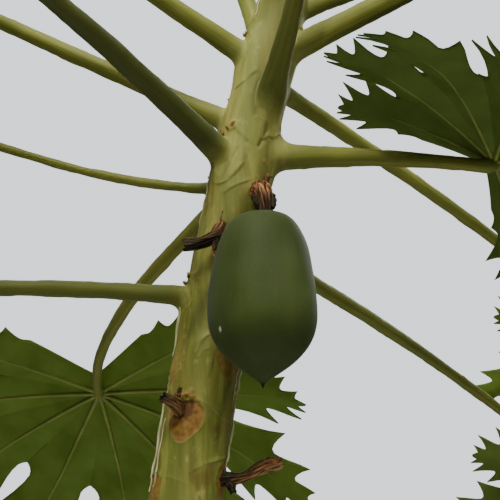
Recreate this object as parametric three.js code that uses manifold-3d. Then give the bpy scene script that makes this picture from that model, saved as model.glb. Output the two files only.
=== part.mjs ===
// A young fruiting papaya plant, rooted in the ground, in millimetres with +Z up.
// The origin is the middle of the flat cut under the trunk, at ground level.
// The trunk leans towards +X. Azimuth 0 on the trunk faces -Y and azimuth 90 faces +X.
import * as THREE from 'three';
import { mergeVertices } from 'three/addons/utils/BufferGeometryUtils.js';
import Module from 'manifold-3d';

const wasm = await Module();
wasm.setup();

// Clearance between neighbouring pieces, and the distance under which two corners are one
const GAP = 0.3;
const WELD = 1e-4;

// Trunk: height of its tip, lean at the foot, and the further bend towards the crown
const TIP_HEIGHT = 1880;
const FOOT_LEAN = 0.04;
const CROWN_BEND = 139;
const BEND_POWER = 3.6;
// Radius at the ground without the flare, its fall per millimetre, and the taper inside the crown
const FOOT_RADIUS = 41;
const TAPER = 0.0088;
const FLARE = 16;
const FLARE_HEIGHT = 45;
const CROWN_START = 1400;
const CROWN_TAPER = 17;
const TRUNK_SIDES = 20;
const TRUNK_STEP = 62;
// Heights of the rings over the flare. The trunk closes from TIP_ROUND below its tip, by this share.
const FLARE_RINGS = [0, 18, 42, 80, 140];
const TIP_ROUND = 14;
const TIP_CLOSE = 0.45;

// Leaf stalks: how much the foot is wider and taller than the stalk and how far it hangs below it, as
// shares of the stalk's radius, and the distance and power by which that fades
const FOOT_WIDTH = 0.3;
const FOOT_DEPTH = 0.5;
const FOOT_SINK = 0.3;
const FOOT_FADE = 22;
const FOOT_POWER = 1.3;
// How far inside the trunk a stalk starts before it is cut: a length, and at most a share of the radius
const START_DEPTH = 12;
const START_SHARE = 0.5;
// Straight steps of the middle line, and where its rings are as shares of its length
const STALK_STEPS = 40;
const STALK_RINGS = [0, 0.03, 0.06, 0.1, 0.18, 0.36, 0.54, 0.74];
const STALK_SIDES = 8;
// The end's radius as a share of the foot's, and in end radii: how far back the neck is, and how far the
// elbow lifts the blade. The elbow turns the end this much towards the blade's upper side.
const STALK_END = 0.58;
const NECK_BACK = 2.2;
const ELBOW_LIFT = 1.7;
const ELBOW_TURN = 0.9;

// Leaf blades: angle of each lobe from the leaf's middle line, and its length as a share of the blade's
const LOBES = [
  { angle: -122, reach: 0.68 },
  { angle: -92, reach: 0.84 },
  { angle: -62, reach: 0.93 },
  { angle: -31, reach: 0.98 },
  { angle: 0, reach: 1.0 },
  { angle: 31, reach: 0.98 },
  { angle: 62, reach: 0.93 },
  { angle: 92, reach: 0.84 },
  { angle: 122, reach: 0.68 },
];
const BLADE_THICKNESS = 0.021;
const LEAST_THICKNESS = 2;
const BLADE_DROOP = 0.24;
const BLADE_FOLD = 0.3;
const HUB_RADIUS = 0.055;
const SINUS_REACH = 0.36;
const BACK_SINUS = 0.08;
// Places on a lobe as shares of its length: along the rib, and out from it
const LOBE_WAIST = [0.5, 0.1];
const LOBE_TOOTH = [0.7, 0.165];

// Fruit, hanging in front of the trunk on its +X side: place of its tip, length, largest radius, and how
// far up the widest place is. The powers round off the shoulder above it and the point below it.
const FRUIT_TIP = new THREE.Vector3(142.6, -66, 1316.7);
const FRUIT_LENGTH = 141.2;
const FRUIT_RADIUS = 43.7;
const FRUIT_BELLY = 0.446;
const SHOULDER_POWERS = [1.42, 4.25];
const POINT_POWERS = [2.85, 0.77];
const FRUIT_SIDES = 22;
const FRUIT_RINGS = 18;

// Withered stalks: points along the middle line and the radius along it, each from the trunk outwards
const RINGS_PER_SPAN = 3;
const FRUIT_STALK = {
  line: [[136, -10, 1509], [138.5, -26, 1499], [141, -44, 1491], [143, -57, 1483], [144.5, -64, 1470],
    [144.5, -65.5, 1450]],
  radii: [7, 8, 9.5, 9, 7.5, 6.5],
};
const DRY_STALKS = {
  dry_stalk_left: {
    line: [[86, -17, 1316], [75, -33, 1318], [63.5, -39, 1319]],
    radii: [6.5, 5, 4],
  },
  dry_stalk_right: {
    line: [[96, -6, 1256], [124, -7, 1255], [146, -10, 1262], [162, -12, 1267]],
    radii: [6, 5, 5.5, 6.5],
  },
  dry_stalk_hooked: {
    line: [[112, -20, 1460], [107, -37, 1454], [93, -40, 1446], [78, -37, 1443]],
    radii: [6, 4.5, 4, 4.5],
  },
};

// Leaves that are seen from in front, from the lowest up. Lengths in millimetres and angles in degrees:
// rise is the stalk's slope at the trunk, bend how far it has turned down at its end, hook how late it
// turns, sway its turn to the side. The blade's pitch is its slope, roll lifts its right edge, and turn is
// its heading from the stalk's, to the left.
const SEEN_LEAVES = [
  { height: 1407, azimuth: 285, rise: 1, bend: 16, length: 440, thick: 15, blade: 235, pitch: -52 },
  { height: 1459, azimuth: 137, rise: -9, bend: 12, length: 590, thick: 14, blade: 225, pitch: -58 },
  { height: 1487, azimuth: 233, rise: -30, bend: -20, sway: -55, length: 306, thick: 14, blade: 258,
    pitch: -35, turn: -9, droop: 0.2 },
  { height: 1514, azimuth: 256, rise: 9, bend: -20, sway: 12, length: 430, thick: 9,
    blade: 150, pitch: -20 },
  { height: 1533, azimuth: 308, rise: 31, bend: 12, length: 440, thick: 21, blade: 240, pitch: -34 },
  { height: 1534, azimuth: 88, rise: 1, bend: 9, length: 186, thick: 18, blade: 210, pitch: -6, roll: 34,
    turn: -60 },
  { height: 1572, azimuth: 257, rise: 28, bend: -4, length: 500, thick: 17, blade: 225, pitch: -20 },
  { height: 1586, azimuth: 29, rise: 60, bend: 14, hook: 3, length: 400, thick: 17,
    blade: 225, pitch: -12 },
  { height: 1603, azimuth: 132, rise: -12, bend: 8, length: 540, thick: 15, blade: 230, pitch: -50 },
  { height: 1653, azimuth: 208, rise: 64, bend: 6, length: 440, thick: 17, blade: 210, pitch: -16 },
  { height: 1631, azimuth: 285, rise: 30, bend: -26, hook: 2, length: 390, thick: 18,
    blade: 215, pitch: 2 },
  { height: 1637, azimuth: 78, rise: 24, bend: 2, length: 480, thick: 21, blade: 235, pitch: -32 },
  { height: 1683, azimuth: 114, rise: 29, bend: -14, hook: 1.5, length: 420, thick: 19,
    blade: 215, pitch: -14 },
];

// Leaves above them up to the tip follow the plant's spiral, shorter and steeper the younger they are. Each
// pair is the value for the lowest and the highest of them, and crowding is the power that spaces them.
const YOUNG_LEAVES = 10;
const SPIRAL = 137.5;
const YOUNG = {
  firstAzimuth: 342,
  height: [1698, 1862],
  crowding: 0.85,
  rise: [42, 74],
  bend: 6,
  length: [380, 90],
  thick: [17, 6],
  blade: [188, 42],
  pitch: [-6, 40],
};

const FINISHES = {
  bark: { color: 0x8a8c48, roughness: 0.6 },
  stalk: { color: 0x77752f, roughness: 0.5 },
  blade: { color: 0x3c4a1e, roughness: 0.6 },
  fruit: { color: 0x42561f, roughness: 0.55 },
  dry: { color: 0x3a2616, roughness: 0.9 },
};

function radians(degrees) {
  return degrees * Math.PI / 180;
}

function mix(range, share) {
  return range[0] + (range[1] - range[0]) * share;
}

function outward(azimuth) {
  const angle = radians(azimuth);
  return new THREE.Vector3(Math.sin(angle), -Math.cos(angle), 0);
}

function trunkAxis(z) {
  const x = FOOT_LEAN * z + CROWN_BEND * Math.pow(Math.max(z, 0) / TIP_HEIGHT, BEND_POWER);
  return new THREE.Vector3(x, 0, z);
}

function trunkRadius(z) {
  const crown = Math.max(0, (z - CROWN_START) / (TIP_HEIGHT - CROWN_START));
  return FOOT_RADIUS - TAPER * z + FLARE * Math.exp(-z / FLARE_HEIGHT) - CROWN_TAPER * crown ** 3;
}

function trunkPoint(z, azimuth, lift = 0) {
  return trunkAxis(z).addScaledVector(outward(azimuth), trunkRadius(z) + lift);
}

// A closed body through rings of points that all turn the same way about the path, with a fan at each end.
function ringBody(rings) {
  const sides = rings[0].length;
  const positions = [];
  const index = [];
  const centres = [rings[0], rings[rings.length - 1]].map((ring) => ring
    .reduce((sum, point) => sum.add(point), new THREE.Vector3())
    .divideScalar(sides));
  rings.flat().concat(centres).forEach((point) => positions.push(point.x, point.y, point.z));
  const first = rings.length * sides;
  const top = (rings.length - 1) * sides;
  for (let side = 0; side < sides; side += 1) {
    const next = (side + 1) % sides;
    for (let ring = 0; ring + 1 < rings.length; ring += 1) {
      const low = ring * sides;
      const high = low + sides;
      index.push(low + side, low + next, high + next);
      index.push(low + side, high + next, high + side);
    }
    index.push(first, next, side);
    index.push(first + 1, top + side, top + next);
  }
  const geometry = new THREE.BufferGeometry();
  geometry.setAttribute('position', new THREE.Float32BufferAttribute(positions, 3));
  geometry.setIndex(index);
  return geometry;
}

function toSolid(geometry) {
  const bare = geometry.clone();
  bare.deleteAttribute('normal');
  bare.deleteAttribute('uv');
  const merged = mergeVertices(bare, WELD);
  return new wasm.Manifold(new wasm.Mesh({
    numProp: 3,
    vertProperties: new Float32Array(merged.attributes.position.array),
    triVerts: new Uint32Array(merged.index.array),
  }));
}

function toGeometry(solid) {
  const mesh = solid.getMesh();
  const geometry = new THREE.BufferGeometry();
  geometry.setAttribute('position', new THREE.BufferAttribute(mesh.vertProperties, 3));
  geometry.setIndex(new THREE.BufferAttribute(mesh.triVerts, 1));
  return geometry;
}

// The trunk, grown by a clearance where other pieces are cut against it.
function trunkBody(lift = 0) {
  const heights = FLARE_RINGS.slice();
  const low = heights[heights.length - 1];
  const rest = TIP_HEIGHT - TIP_ROUND - low;
  const count = Math.round(rest / TRUNK_STEP);
  for (let step = 1; step <= count; step += 1) {
    heights.push(low + rest * step / count);
  }
  const rings = heights.map((z) => {
    const ring = [];
    for (let side = 0; side < TRUNK_SIDES; side += 1) {
      ring.push(trunkPoint(z, 360 * side / TRUNK_SIDES, lift));
    }
    return ring;
  });
  const tip = trunkAxis(TIP_HEIGHT);
  rings.push(rings[rings.length - 1].map((point) => point.clone().lerp(tip, TIP_CLOSE).setZ(TIP_HEIGHT)));
  return ringBody(rings);
}

const grownTrunk = toSolid(trunkBody(GAP));

// The middle line of a leaf stalk: it leaves the trunk at its rise and turns down and aside along the way.
function stalkLine(leaf) {
  const away = outward(leaf.azimuth);
  const side = new THREE.Vector3(-away.y, away.x, 0);
  const points = [trunkPoint(leaf.height, leaf.azimuth)];
  const headings = [];
  for (let step = 0; step < STALK_STEPS; step += 1) {
    const share = (step + 0.5) / STALK_STEPS;
    const slope = radians(leaf.rise - leaf.bend * share ** (leaf.hook ?? 1));
    const turn = radians((leaf.sway ?? 0) * share);
    const heading = away.clone().multiplyScalar(Math.cos(slope) * Math.cos(turn));
    heading.addScaledVector(side, Math.cos(slope) * Math.sin(turn)).setZ(Math.sin(slope));
    headings.push(heading);
    points.push(points[step].clone().addScaledVector(heading, leaf.length / STALK_STEPS));
  }
  headings.push(headings[STALK_STEPS - 1].clone());
  return { points, headings };
}

// The blade's own axes at the stalk's end: along its middle line, to its left, and up out of its upper face.
function bladeFrame(leaf) {
  const line = stalkLine(leaf);
  const end = line.headings[STALK_STEPS];
  const heading = Math.atan2(end.y, end.x) + radians(leaf.turn ?? 0);
  const pitch = radians(leaf.pitch);
  const along = new THREE.Vector3(Math.cos(heading) * Math.cos(pitch), Math.sin(heading) * Math.cos(pitch),
    Math.sin(pitch));
  const left = new THREE.Vector3(-Math.sin(heading), Math.cos(heading), 0);
  const up = along.clone().cross(left);
  const roll = radians(leaf.roll ?? 0);
  left.multiplyScalar(Math.cos(roll)).addScaledVector(up, -Math.sin(roll));
  up.copy(along).cross(left);
  const lift = ELBOW_LIFT * STALK_END * leaf.thick / 2 * (1 - end.dot(up));
  return { origin: line.points[STALK_STEPS].clone().addScaledVector(up, lift), along, left, up };
}

// A ring of the stalk: an ellipse across the heading, wider and deeper towards the foot.
function stalkRing(point, heading, width, depth) {
  const side = new THREE.Vector3(-heading.y, heading.x, 0).normalize();
  const top = heading.clone().cross(side);
  const ring = [];
  for (let corner = 0; corner < STALK_SIDES; corner += 1) {
    const angle = 2 * Math.PI * (corner + 0.5) / STALK_SIDES;
    const place = point.clone().addScaledVector(side, width * Math.cos(angle));
    ring.push(place.addScaledVector(top, depth * Math.sin(angle)));
  }
  return ring;
}

function stalkBody(leaf) {
  const { points, headings } = stalkLine(leaf);
  const frame = bladeFrame(leaf);
  const radius = leaf.thick / 2;
  const inside = Math.min(START_DEPTH, trunkRadius(leaf.height) * START_SHARE);
  const rings = [];
  const addRing = (point, heading, distance) => {
    const beyond = Math.max(distance, 0);
    const swell = Math.exp(-((beyond / FOOT_FADE) ** FOOT_POWER));
    const taper = 1 - (1 - STALK_END) * beyond / leaf.length;
    const top = heading.clone().cross(new THREE.Vector3(heading.y, -heading.x, 0).normalize());
    const centre = point.clone().addScaledVector(top, -FOOT_SINK * radius * swell);
    const width = radius * (taper + FOOT_WIDTH * swell);
    rings.push(stalkRing(centre, heading, width, radius * (taper + FOOT_DEPTH * swell)));
  };
  addRing(points[0].clone().addScaledVector(headings[0], -inside), headings[0], -inside);
  const neck = 1 - NECK_BACK * radius * STALK_END / leaf.length;
  STALK_RINGS.concat(neck).forEach((share) => {
    const step = Math.round(share * STALK_STEPS);
    const past = (share - step / STALK_STEPS) * leaf.length;
    addRing(points[step].clone().addScaledVector(headings[step], past), headings[step], share * leaf.length);
  });
  // The last ring is cut parallel to the blade's underside, just clear of it.
  const through = headings[STALK_STEPS].clone().addScaledVector(frame.up, ELBOW_TURN).normalize();
  const endRing = stalkRing(frame.origin, through, radius * STALK_END, radius * STALK_END);
  rings.push(endRing.map((point) => {
    const height = point.clone().sub(frame.origin).dot(frame.up) + GAP;
    return point.addScaledVector(through, -height / through.dot(frame.up));
  }));
  return toGeometry(toSolid(ringBody(rings)).subtract(grownTrunk));
}

// A leaf blade: a thin plate of nine pointed lobes round a small flat hub. Each lobe is folded up along its
// rib, and the whole blade droops with the square of the distance from the hub.
function bladeBody(leaf) {
  const { origin, along, left, up } = bladeFrame(leaf);
  const size = leaf.blade;
  const thickness = Math.max(BLADE_THICKNESS * size, LEAST_THICKNESS);
  const lower = [];
  const faces = [];
  const border = [];
  const addPoint = (angle, distance, across) => {
    const turn = radians(angle);
    const a = distance * Math.cos(turn) - across * Math.sin(turn);
    const b = distance * Math.sin(turn) + across * Math.cos(turn);
    const beyond = Math.max(0, Math.hypot(a, b) - HUB_RADIUS * size);
    const height = BLADE_FOLD * Math.abs(across) - (leaf.droop ?? BLADE_DROOP) * beyond ** 2 / size;
    const point = origin.clone().addScaledVector(along, a).addScaledVector(left, b);
    lower.push(point.addScaledVector(up, height));
    return lower.length - 1;
  };
  const centre = addPoint(0, 0, 0);
  const hub = LOBES.map((lobe) => addPoint(lobe.angle, HUB_RADIUS * size, 0));
  const sinus = LOBES.map((lobe, place) => {
    const next = LOBES[place + 1];
    if (!next) {
      return addPoint(180, BACK_SINUS * size, 0);
    }
    const middle = (lobe.angle + next.angle) / 2;
    const half = radians((next.angle - lobe.angle) / 2);
    const reach = SINUS_REACH * Math.min(lobe.reach, next.reach) * size;
    const point = addPoint(middle, reach, 0);
    lower[point].addScaledVector(up, BLADE_FOLD * reach * Math.sin(half));
    return point;
  });
  LOBES.forEach((lobe, place) => {
    const reach = lobe.reach * size;
    const nextHub = hub[(place + 1) % LOBES.length];
    const leftSinus = sinus[place];
    const rightSinus = sinus[(place + LOBES.length - 1) % LOBES.length];
    const start = hub[place];
    const middle = addPoint(lobe.angle, LOBE_WAIST[0] * reach, 0);
    const shoulder = addPoint(lobe.angle, LOBE_TOOTH[0] * reach, 0);
    const tip = addPoint(lobe.angle, reach, 0);
    faces.push([centre, start, nextHub], [start, leftSinus, nextHub]);
    const halves = [1, -1].map((hand) => ({
      hand,
      notch: hand > 0 ? leftSinus : rightSinus,
      waist: addPoint(lobe.angle, LOBE_WAIST[0] * reach, hand * LOBE_WAIST[1] * reach),
      tooth: addPoint(lobe.angle, LOBE_TOOTH[0] * reach, hand * LOBE_TOOTH[1] * reach),
    }));
    halves.forEach(({ hand, notch, waist, tooth }) => {
      const half = [[start, middle, notch], [middle, waist, notch], [middle, shoulder, waist],
        [shoulder, tooth, waist], [shoulder, tip, tooth]];
      half.forEach((face) => faces.push(hand > 0 ? face : [face[0], face[2], face[1]]));
    });
    border.push(rightSinus, halves[1].waist, halves[1].tooth, tip, halves[0].tooth, halves[0].waist);
  });
  const count = lower.length;
  const positions = [];
  const index = [];
  lower.forEach((point) => positions.push(point.x, point.y, point.z));
  lower.forEach((point) => {
    const high = point.clone().addScaledVector(up, thickness);
    positions.push(high.x, high.y, high.z);
  });
  faces.forEach(([a, b, c]) => {
    index.push(a + count, b + count, c + count);
    index.push(a, c, b);
  });
  border.forEach((here, place) => {
    const next = border[(place + 1) % border.length];
    index.push(here, next, next + count);
    index.push(here, next + count, here + count);
  });
  const geometry = new THREE.BufferGeometry();
  geometry.setAttribute('position', new THREE.Float32BufferAttribute(positions, 3));
  geometry.setIndex(index);
  return geometry;
}

// The fruit's radius at a share of its length up from the tip.
function fruitRadius(share) {
  const above = share > FRUIT_BELLY;
  const [inner, outer] = above ? SHOULDER_POWERS : POINT_POWERS;
  const away = above ? (share - FRUIT_BELLY) / (1 - FRUIT_BELLY) : (FRUIT_BELLY - share) / FRUIT_BELLY;
  return FRUIT_RADIUS * Math.pow(Math.max(0, 1 - away ** inner), 1 / outer);
}

// The fruit is turned about its upright axis, and can be grown by a clearance.
function fruitSolid(lift = 0) {
  const profile = [new THREE.Vector2(0, -lift)];
  for (let step = 1; step < FRUIT_RINGS; step += 1) {
    const share = (1 - Math.cos(Math.PI * step / FRUIT_RINGS)) / 2;
    const height = FRUIT_LENGTH * share + lift * (2 * share - 1);
    profile.push(new THREE.Vector2(fruitRadius(share) + lift, height));
  }
  profile.push(new THREE.Vector2(0, FRUIT_LENGTH + lift));
  const lathe = new THREE.LatheGeometry(profile, FRUIT_SIDES);
  lathe.rotateX(Math.PI / 2);
  lathe.translate(FRUIT_TIP.x, FRUIT_TIP.y, FRUIT_TIP.z);
  return toSolid(lathe).subtract(grownTrunk);
}

// A withered stalk: round rings along its line, cut clear of the trunk and of any piece it ends at.
function witheredBody({ line, radii }, cutters = []) {
  const curve = new THREE.CatmullRomCurve3(line.map((place) => new THREE.Vector3(...place)));
  const steps = RINGS_PER_SPAN * (line.length - 1);
  const rings = [];
  for (let step = 0; step <= steps; step += 1) {
    const share = step / steps;
    const place = share * (radii.length - 1);
    const low = Math.min(Math.floor(place), radii.length - 2);
    const radius = mix([radii[low], radii[low + 1]], place - low);
    rings.push(stalkRing(curve.getPoint(share), curve.getTangent(share), radius, radius));
  }
  const solid = toSolid(ringBody(rings)).subtract(grownTrunk);
  return toGeometry(cutters.reduce((left, cutter) => left.subtract(cutter), solid));
}

const materials = Object.fromEntries(Object.entries(FINISHES).map(([name, finish]) => [
  name, new THREE.MeshStandardMaterial({ ...finish, metalness: 0 }),
]));

const papaya = new THREE.Group();

function addPiece(name, geometry, material) {
  geometry.computeVertexNormals();
  const mesh = new THREE.Mesh(geometry, material);
  mesh.name = name;
  papaya.add(mesh);
}

function youngLeaf(place) {
  const share = place / (YOUNG_LEAVES - 1);
  return {
    height: mix(YOUNG.height, share ** YOUNG.crowding),
    azimuth: (YOUNG.firstAzimuth + SPIRAL * place) % 360,
    rise: mix(YOUNG.rise, share),
    bend: YOUNG.bend,
    length: mix(YOUNG.length, share),
    thick: mix(YOUNG.thick, share),
    blade: mix(YOUNG.blade, share),
    pitch: mix(YOUNG.pitch, share),
  };
}

addPiece('trunk', trunkBody(), materials.bark);

const leaves = SEEN_LEAVES.concat(Array.from({ length: YOUNG_LEAVES }, (_, place) => youngLeaf(place)));
leaves.forEach((leaf, place) => {
  const number = String(place + 1).padStart(2, '0');
  addPiece(`leaf_stalk_${number}`, stalkBody(leaf), materials.stalk);
  addPiece(`leaf_blade_${number}`, bladeBody(leaf), materials.blade);
});

addPiece('fruit', toGeometry(fruitSolid()), materials.fruit);
addPiece('fruit_stalk', witheredBody(FRUIT_STALK, [fruitSolid(GAP)]), materials.dry);
Object.entries(DRY_STALKS).forEach(([name, stalk]) => addPiece(name, witheredBody(stalk), materials.dry));

export default papaya;
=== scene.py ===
"""A young fruiting papaya plant in metres, +Z up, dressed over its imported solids.

The trunk is a grid of height and azimuth with scars, node lines and ridges. Leaf stalks are tubes that run
into the trunk with fillets. Each leaf blade is nine lobes, and a lobe is rows that run along its side veins.
"""
import math

import bpy
import numpy as np
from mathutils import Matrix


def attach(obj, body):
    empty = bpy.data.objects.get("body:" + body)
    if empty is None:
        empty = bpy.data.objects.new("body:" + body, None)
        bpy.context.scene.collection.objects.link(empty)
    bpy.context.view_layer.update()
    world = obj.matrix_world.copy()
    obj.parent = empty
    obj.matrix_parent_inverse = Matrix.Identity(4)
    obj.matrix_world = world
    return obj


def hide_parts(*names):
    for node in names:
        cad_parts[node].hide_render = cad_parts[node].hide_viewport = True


UP = np.array([0.0, 0.0, 1.0])
TAU = 2 * np.pi

# Trunk: the same values as its solid has
TIP_HEIGHT = 1.880
FOOT_LEAN = 0.04
CROWN_BEND = 0.139
BEND_POWER = 3.6
FOOT_RADIUS = 0.041
TAPER = 0.0088
FLARE = 0.016
FLARE_HEIGHT = 0.045
CROWN_START = 1.400
CROWN_TAPER = 0.017
# The bark's two grids, below and above a joint: heights where the spacing of rows changes, and that spacing
BARK_JOINT = 1.200
LOWER_ROWS = [(0.16, 0.004), (BARK_JOINT, 0.0033)]
UPPER_ROWS = [(1.70, 0.00088), (1.872, 0.0018)]
TRUNK_COLUMNS = 144
TRUNK_SLIMMER = 0.0008
# How much paler the bark is drawn near the top, partly its young tone and partly painted light, and the
# heights between which it gets so
BLOOM_AND_LIGHT = (0.23, 1.38, 1.62)
# Heights between which old, fissured bark gives way to young
OLD_BARK = (0.62, 1.22)

# Leaf stalks: the same values as their solids have, with finer steps. A foot's three values are how much
# wider and deeper it is at the trunk, as shares, and how far it reaches. It is slimmer than the solid's, as
# fillets widen it, apart from the wide foot of leaf 8.
FOOT = (0.12, 0.15, 0.022)
FOOT_POWER = 1.3
STALK_STEPS = 120
STALK_END = 0.58
NECK_BACK = 2.2
ELBOW_LIFT = 1.7
STALK_COLUMNS = 40
CURVE_STEPS = 12
# Fillets between a stalk and the bark, on its upper side and below it; a leaf's own pair scales them
FILLET_TOP = 0.0026
FILLET_UNDER = 0.0085
# Where along a stalk its meeting with the bark is looked for, and in how many steps
MEETING_RANGE = (-0.06, 0.05)
MEETING_STEPS = 260
# Between which distances from the end of a stalk's fillet the bark's look fades out along it
ROOT_LOOK = (-0.012, 0.016)
# Fine and broad lumps of a stalk's skin: how far they stand, and how far apart they are
LUMPS = ((0.00022, 0.012), (0.00035, 0.045))

# Leaf blades: angle of each lobe in degrees, and its reach as a share of the blade's size
LOBES = [(-122, 0.68), (-92, 0.84), (-62, 0.93), (-31, 0.98), (0, 1.0), (31, 0.98), (62, 0.93), (92, 0.84),
         (122, 0.68)]
BLADE_FOLD = 0.3
BLADE_DROOP = 0.24
HUB_RADIUS = 0.055
SINUS_REACH = 0.36
BACK_SINUS = 0.08
BLADE_THICKNESS = 0.0013
# A lobe: how soft the fold at its rib is, its waves' height and how many radians they take over the blade's
# size along and across the rib, and how far its sides curl down
RIB_SOFTNESS = 0.008
LOBE_WAVES = (0.016, 20, 14)
LOBE_CURL = 0.10
# Rows of a lobe as shares of the blade's size: where a notch or a tooth starts on the rib, and the length of
# its row. Teeth and notches take turns, from the sinus out to the tip.
TEETH = [(0.266, 0.146), (0.350, 0.212), (0.435, 0.160), (0.545, 0.286), (0.640, 0.142), (0.735, 0.212),
         (0.805, 0.082), (0.865, 0.114), (0.925, 0.030)]
TOOTH_POWER = 1.7
WEB_ROWS = 8
ROWS_PER_SIDE = 4
# Angle between a row and the rib, at the sinus and at the tip, and the places of points along a row
ROW_ANGLES = (50.0, 30.0)
ACROSS = np.array([0.0, 0.10, 0.26, 0.46, 0.68, 0.86, 1.0])
RIB_RADIUS = 0.0095
SIDE_VEIN_RADIUS = 0.0028
# Each lobe's own sweep, droop, twist and start of its waves: the least and the most
LOBE_LEAST = (-0.40, -0.05, -0.35, 0)
LOBE_MOST = (0.40, 0.35, 0.35, TAU)

# Leaves that are seen from in front, from the lowest up, in millimetres and degrees as their solids are. A
# stalk leaves the trunk at its rise, falls by its bend with its hook as the power, and turns aside by its
# sway. A blade has a size, pitch, turn, roll and droop, and full widens its lobes. Foot and fillets are the
# stalk's own at the trunk, and deep is painted shade: how much darker the stalk is drawn where it hangs in
# shade.
SEEN_LEAVES = [
    dict(height=1407, azimuth=285, rise=1, bend=16, length=440, thick=15, blade=235, pitch=-52, deep=0.42),
    dict(height=1459, azimuth=137, rise=-9, bend=12, length=590, thick=14, blade=225, pitch=-58, deep=0.15),
    dict(height=1487, azimuth=233, rise=-30, bend=-20, sway=-55, length=306, thick=14, blade=258,
         pitch=-35, turn=-9, droop=0.2),
    dict(height=1508.5, azimuth=256, rise=0, bend=-29.5, hook=0.4, sway=12, length=430, thick=9, blade=150,
         pitch=-20, fillets=(0.5, 0.35)),
    dict(height=1533, azimuth=308, rise=31, bend=12, length=440, thick=21, blade=240, pitch=-34, deep=0.72),
    dict(height=1534, azimuth=88, rise=1, bend=9, length=186, thick=18, blade=210, pitch=-6, roll=34,
         turn=-60, foot=(0.25, 0.32, 0.050), fillets=(5.0, 0.9), full=1.1),
    dict(height=1572, azimuth=257, rise=28, bend=-4, length=500, thick=17, blade=225, pitch=-20),
    dict(height=1586, azimuth=29, rise=60, bend=14, hook=3, length=400, thick=17, blade=225, pitch=-12,
         foot=(0.55, 0.15, 0.026), deep=0.55),
    dict(height=1603, azimuth=132, rise=-12, bend=8, length=540, thick=15, blade=230, pitch=-50),
    dict(height=1653, azimuth=208, rise=64, bend=6, length=440, thick=17, blade=210, pitch=-16),
    dict(height=1631, azimuth=285, rise=30, bend=-26, hook=2, length=390, thick=18, blade=215, pitch=2),
    dict(height=1637, azimuth=78, rise=24, bend=2, length=480, thick=21, blade=235, pitch=-32),
    dict(height=1683, azimuth=114, rise=29, bend=-14, hook=1.5, length=420, thick=19, blade=215, pitch=-14),
]
# Younger leaves above them on the plant's spiral: each pair is for the lowest and the highest of them
YOUNG_LEAVES = 10
SPIRAL = 137.5
YOUNG = dict(first_azimuth=342, height=(1698, 1862), crowding=0.85, rise=(42, 74), bend=6, length=(380, 90),
             thick=(17, 6), blade=(188, 42), pitch=(-6, 40))
# Folded young leaves round the very tip: how far the first and the last lean out, and how long they are
FOLDED_LEAVES = 8
FOLDED_SLOPE = (0.9, 0.2)
FOLDED_LENGTH = (0.060, 0.026)

# Leaf scars that are seen: height in metres, azimuth in degrees, width, height, and how fresh it is
SEEN_SCARS = [
    (1.2965, -17, 0.032, 0.034, 1.0),
    (1.2480, 87, 0.036, 0.040, 0.6),
    (1.2370, -72, 0.034, 0.040, 0.7),
    (1.3510, 47, 0.032, 0.038, 0.4),
]
# The dark patch on the first of them: how far above and aside its middle is, its radius and its strength
SCAR_PATCH = (0.0085, -3, 0.0100, 0.8)
# Older scars carry on down the trunk on the spiral: first height and azimuth, step down, and how they grow
OLD_SCARS = dict(first=(1.200, 205), step=0.0345, lowest=0.07, width=(0.038, 0.056), height=(0.030, 0.016))
# Round bud scars: height, azimuth, radius
BUD_SCARS = [(1.5560, -35, 0.0042), (1.5490, 69, 0.0036)]
# Brown stains: height, azimuth, half width, half height, strength
STAINS = [
    (1.2530, 20, 0.014, 0.011, 0.45), (1.2900, 40, 0.012, 0.010, 0.35), (1.3420, -74, 0.006, 0.012, 0.25),
    (1.5130, -70, 0.008, 0.010, 0.30), (1.4200, -38, 0.004, 0.003, 0.40), (1.3560, 47, 0.024, 0.026, 0.22),
]
# Swellings of the bark: height, azimuth, half width, half height, how far they stand, and how tan they are
SWELLINGS = [
    (1.342, -62, 0.008, 0.010, 0.0020, 0.45), (1.366, -2, 0.011, 0.007, 0.0009, 0.0),
    (1.420, -44, 0.009, 0.008, 0.0010, 0.0), (1.500, 20, 0.016, 0.010, 0.0010, 0.0),
    (1.292, 84, 0.010, 0.016, 0.0010, 0.0), (1.640, -30, 0.012, 0.012, 0.0010, 0.0),
    (1.3177, -26, 0.0026, 0.0028, 0.0026, 0.7), (1.3190, -16, 0.0030, 0.0034, 0.0030, 0.8),
    (1.3155, -10, 0.0022, 0.0026, 0.0022, 0.7), (1.4225, -47, 0.0020, 0.0022, 0.0016, 0.5),
    (1.4180, -40, 0.0018, 0.0024, 0.0016, 0.4),
]
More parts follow.
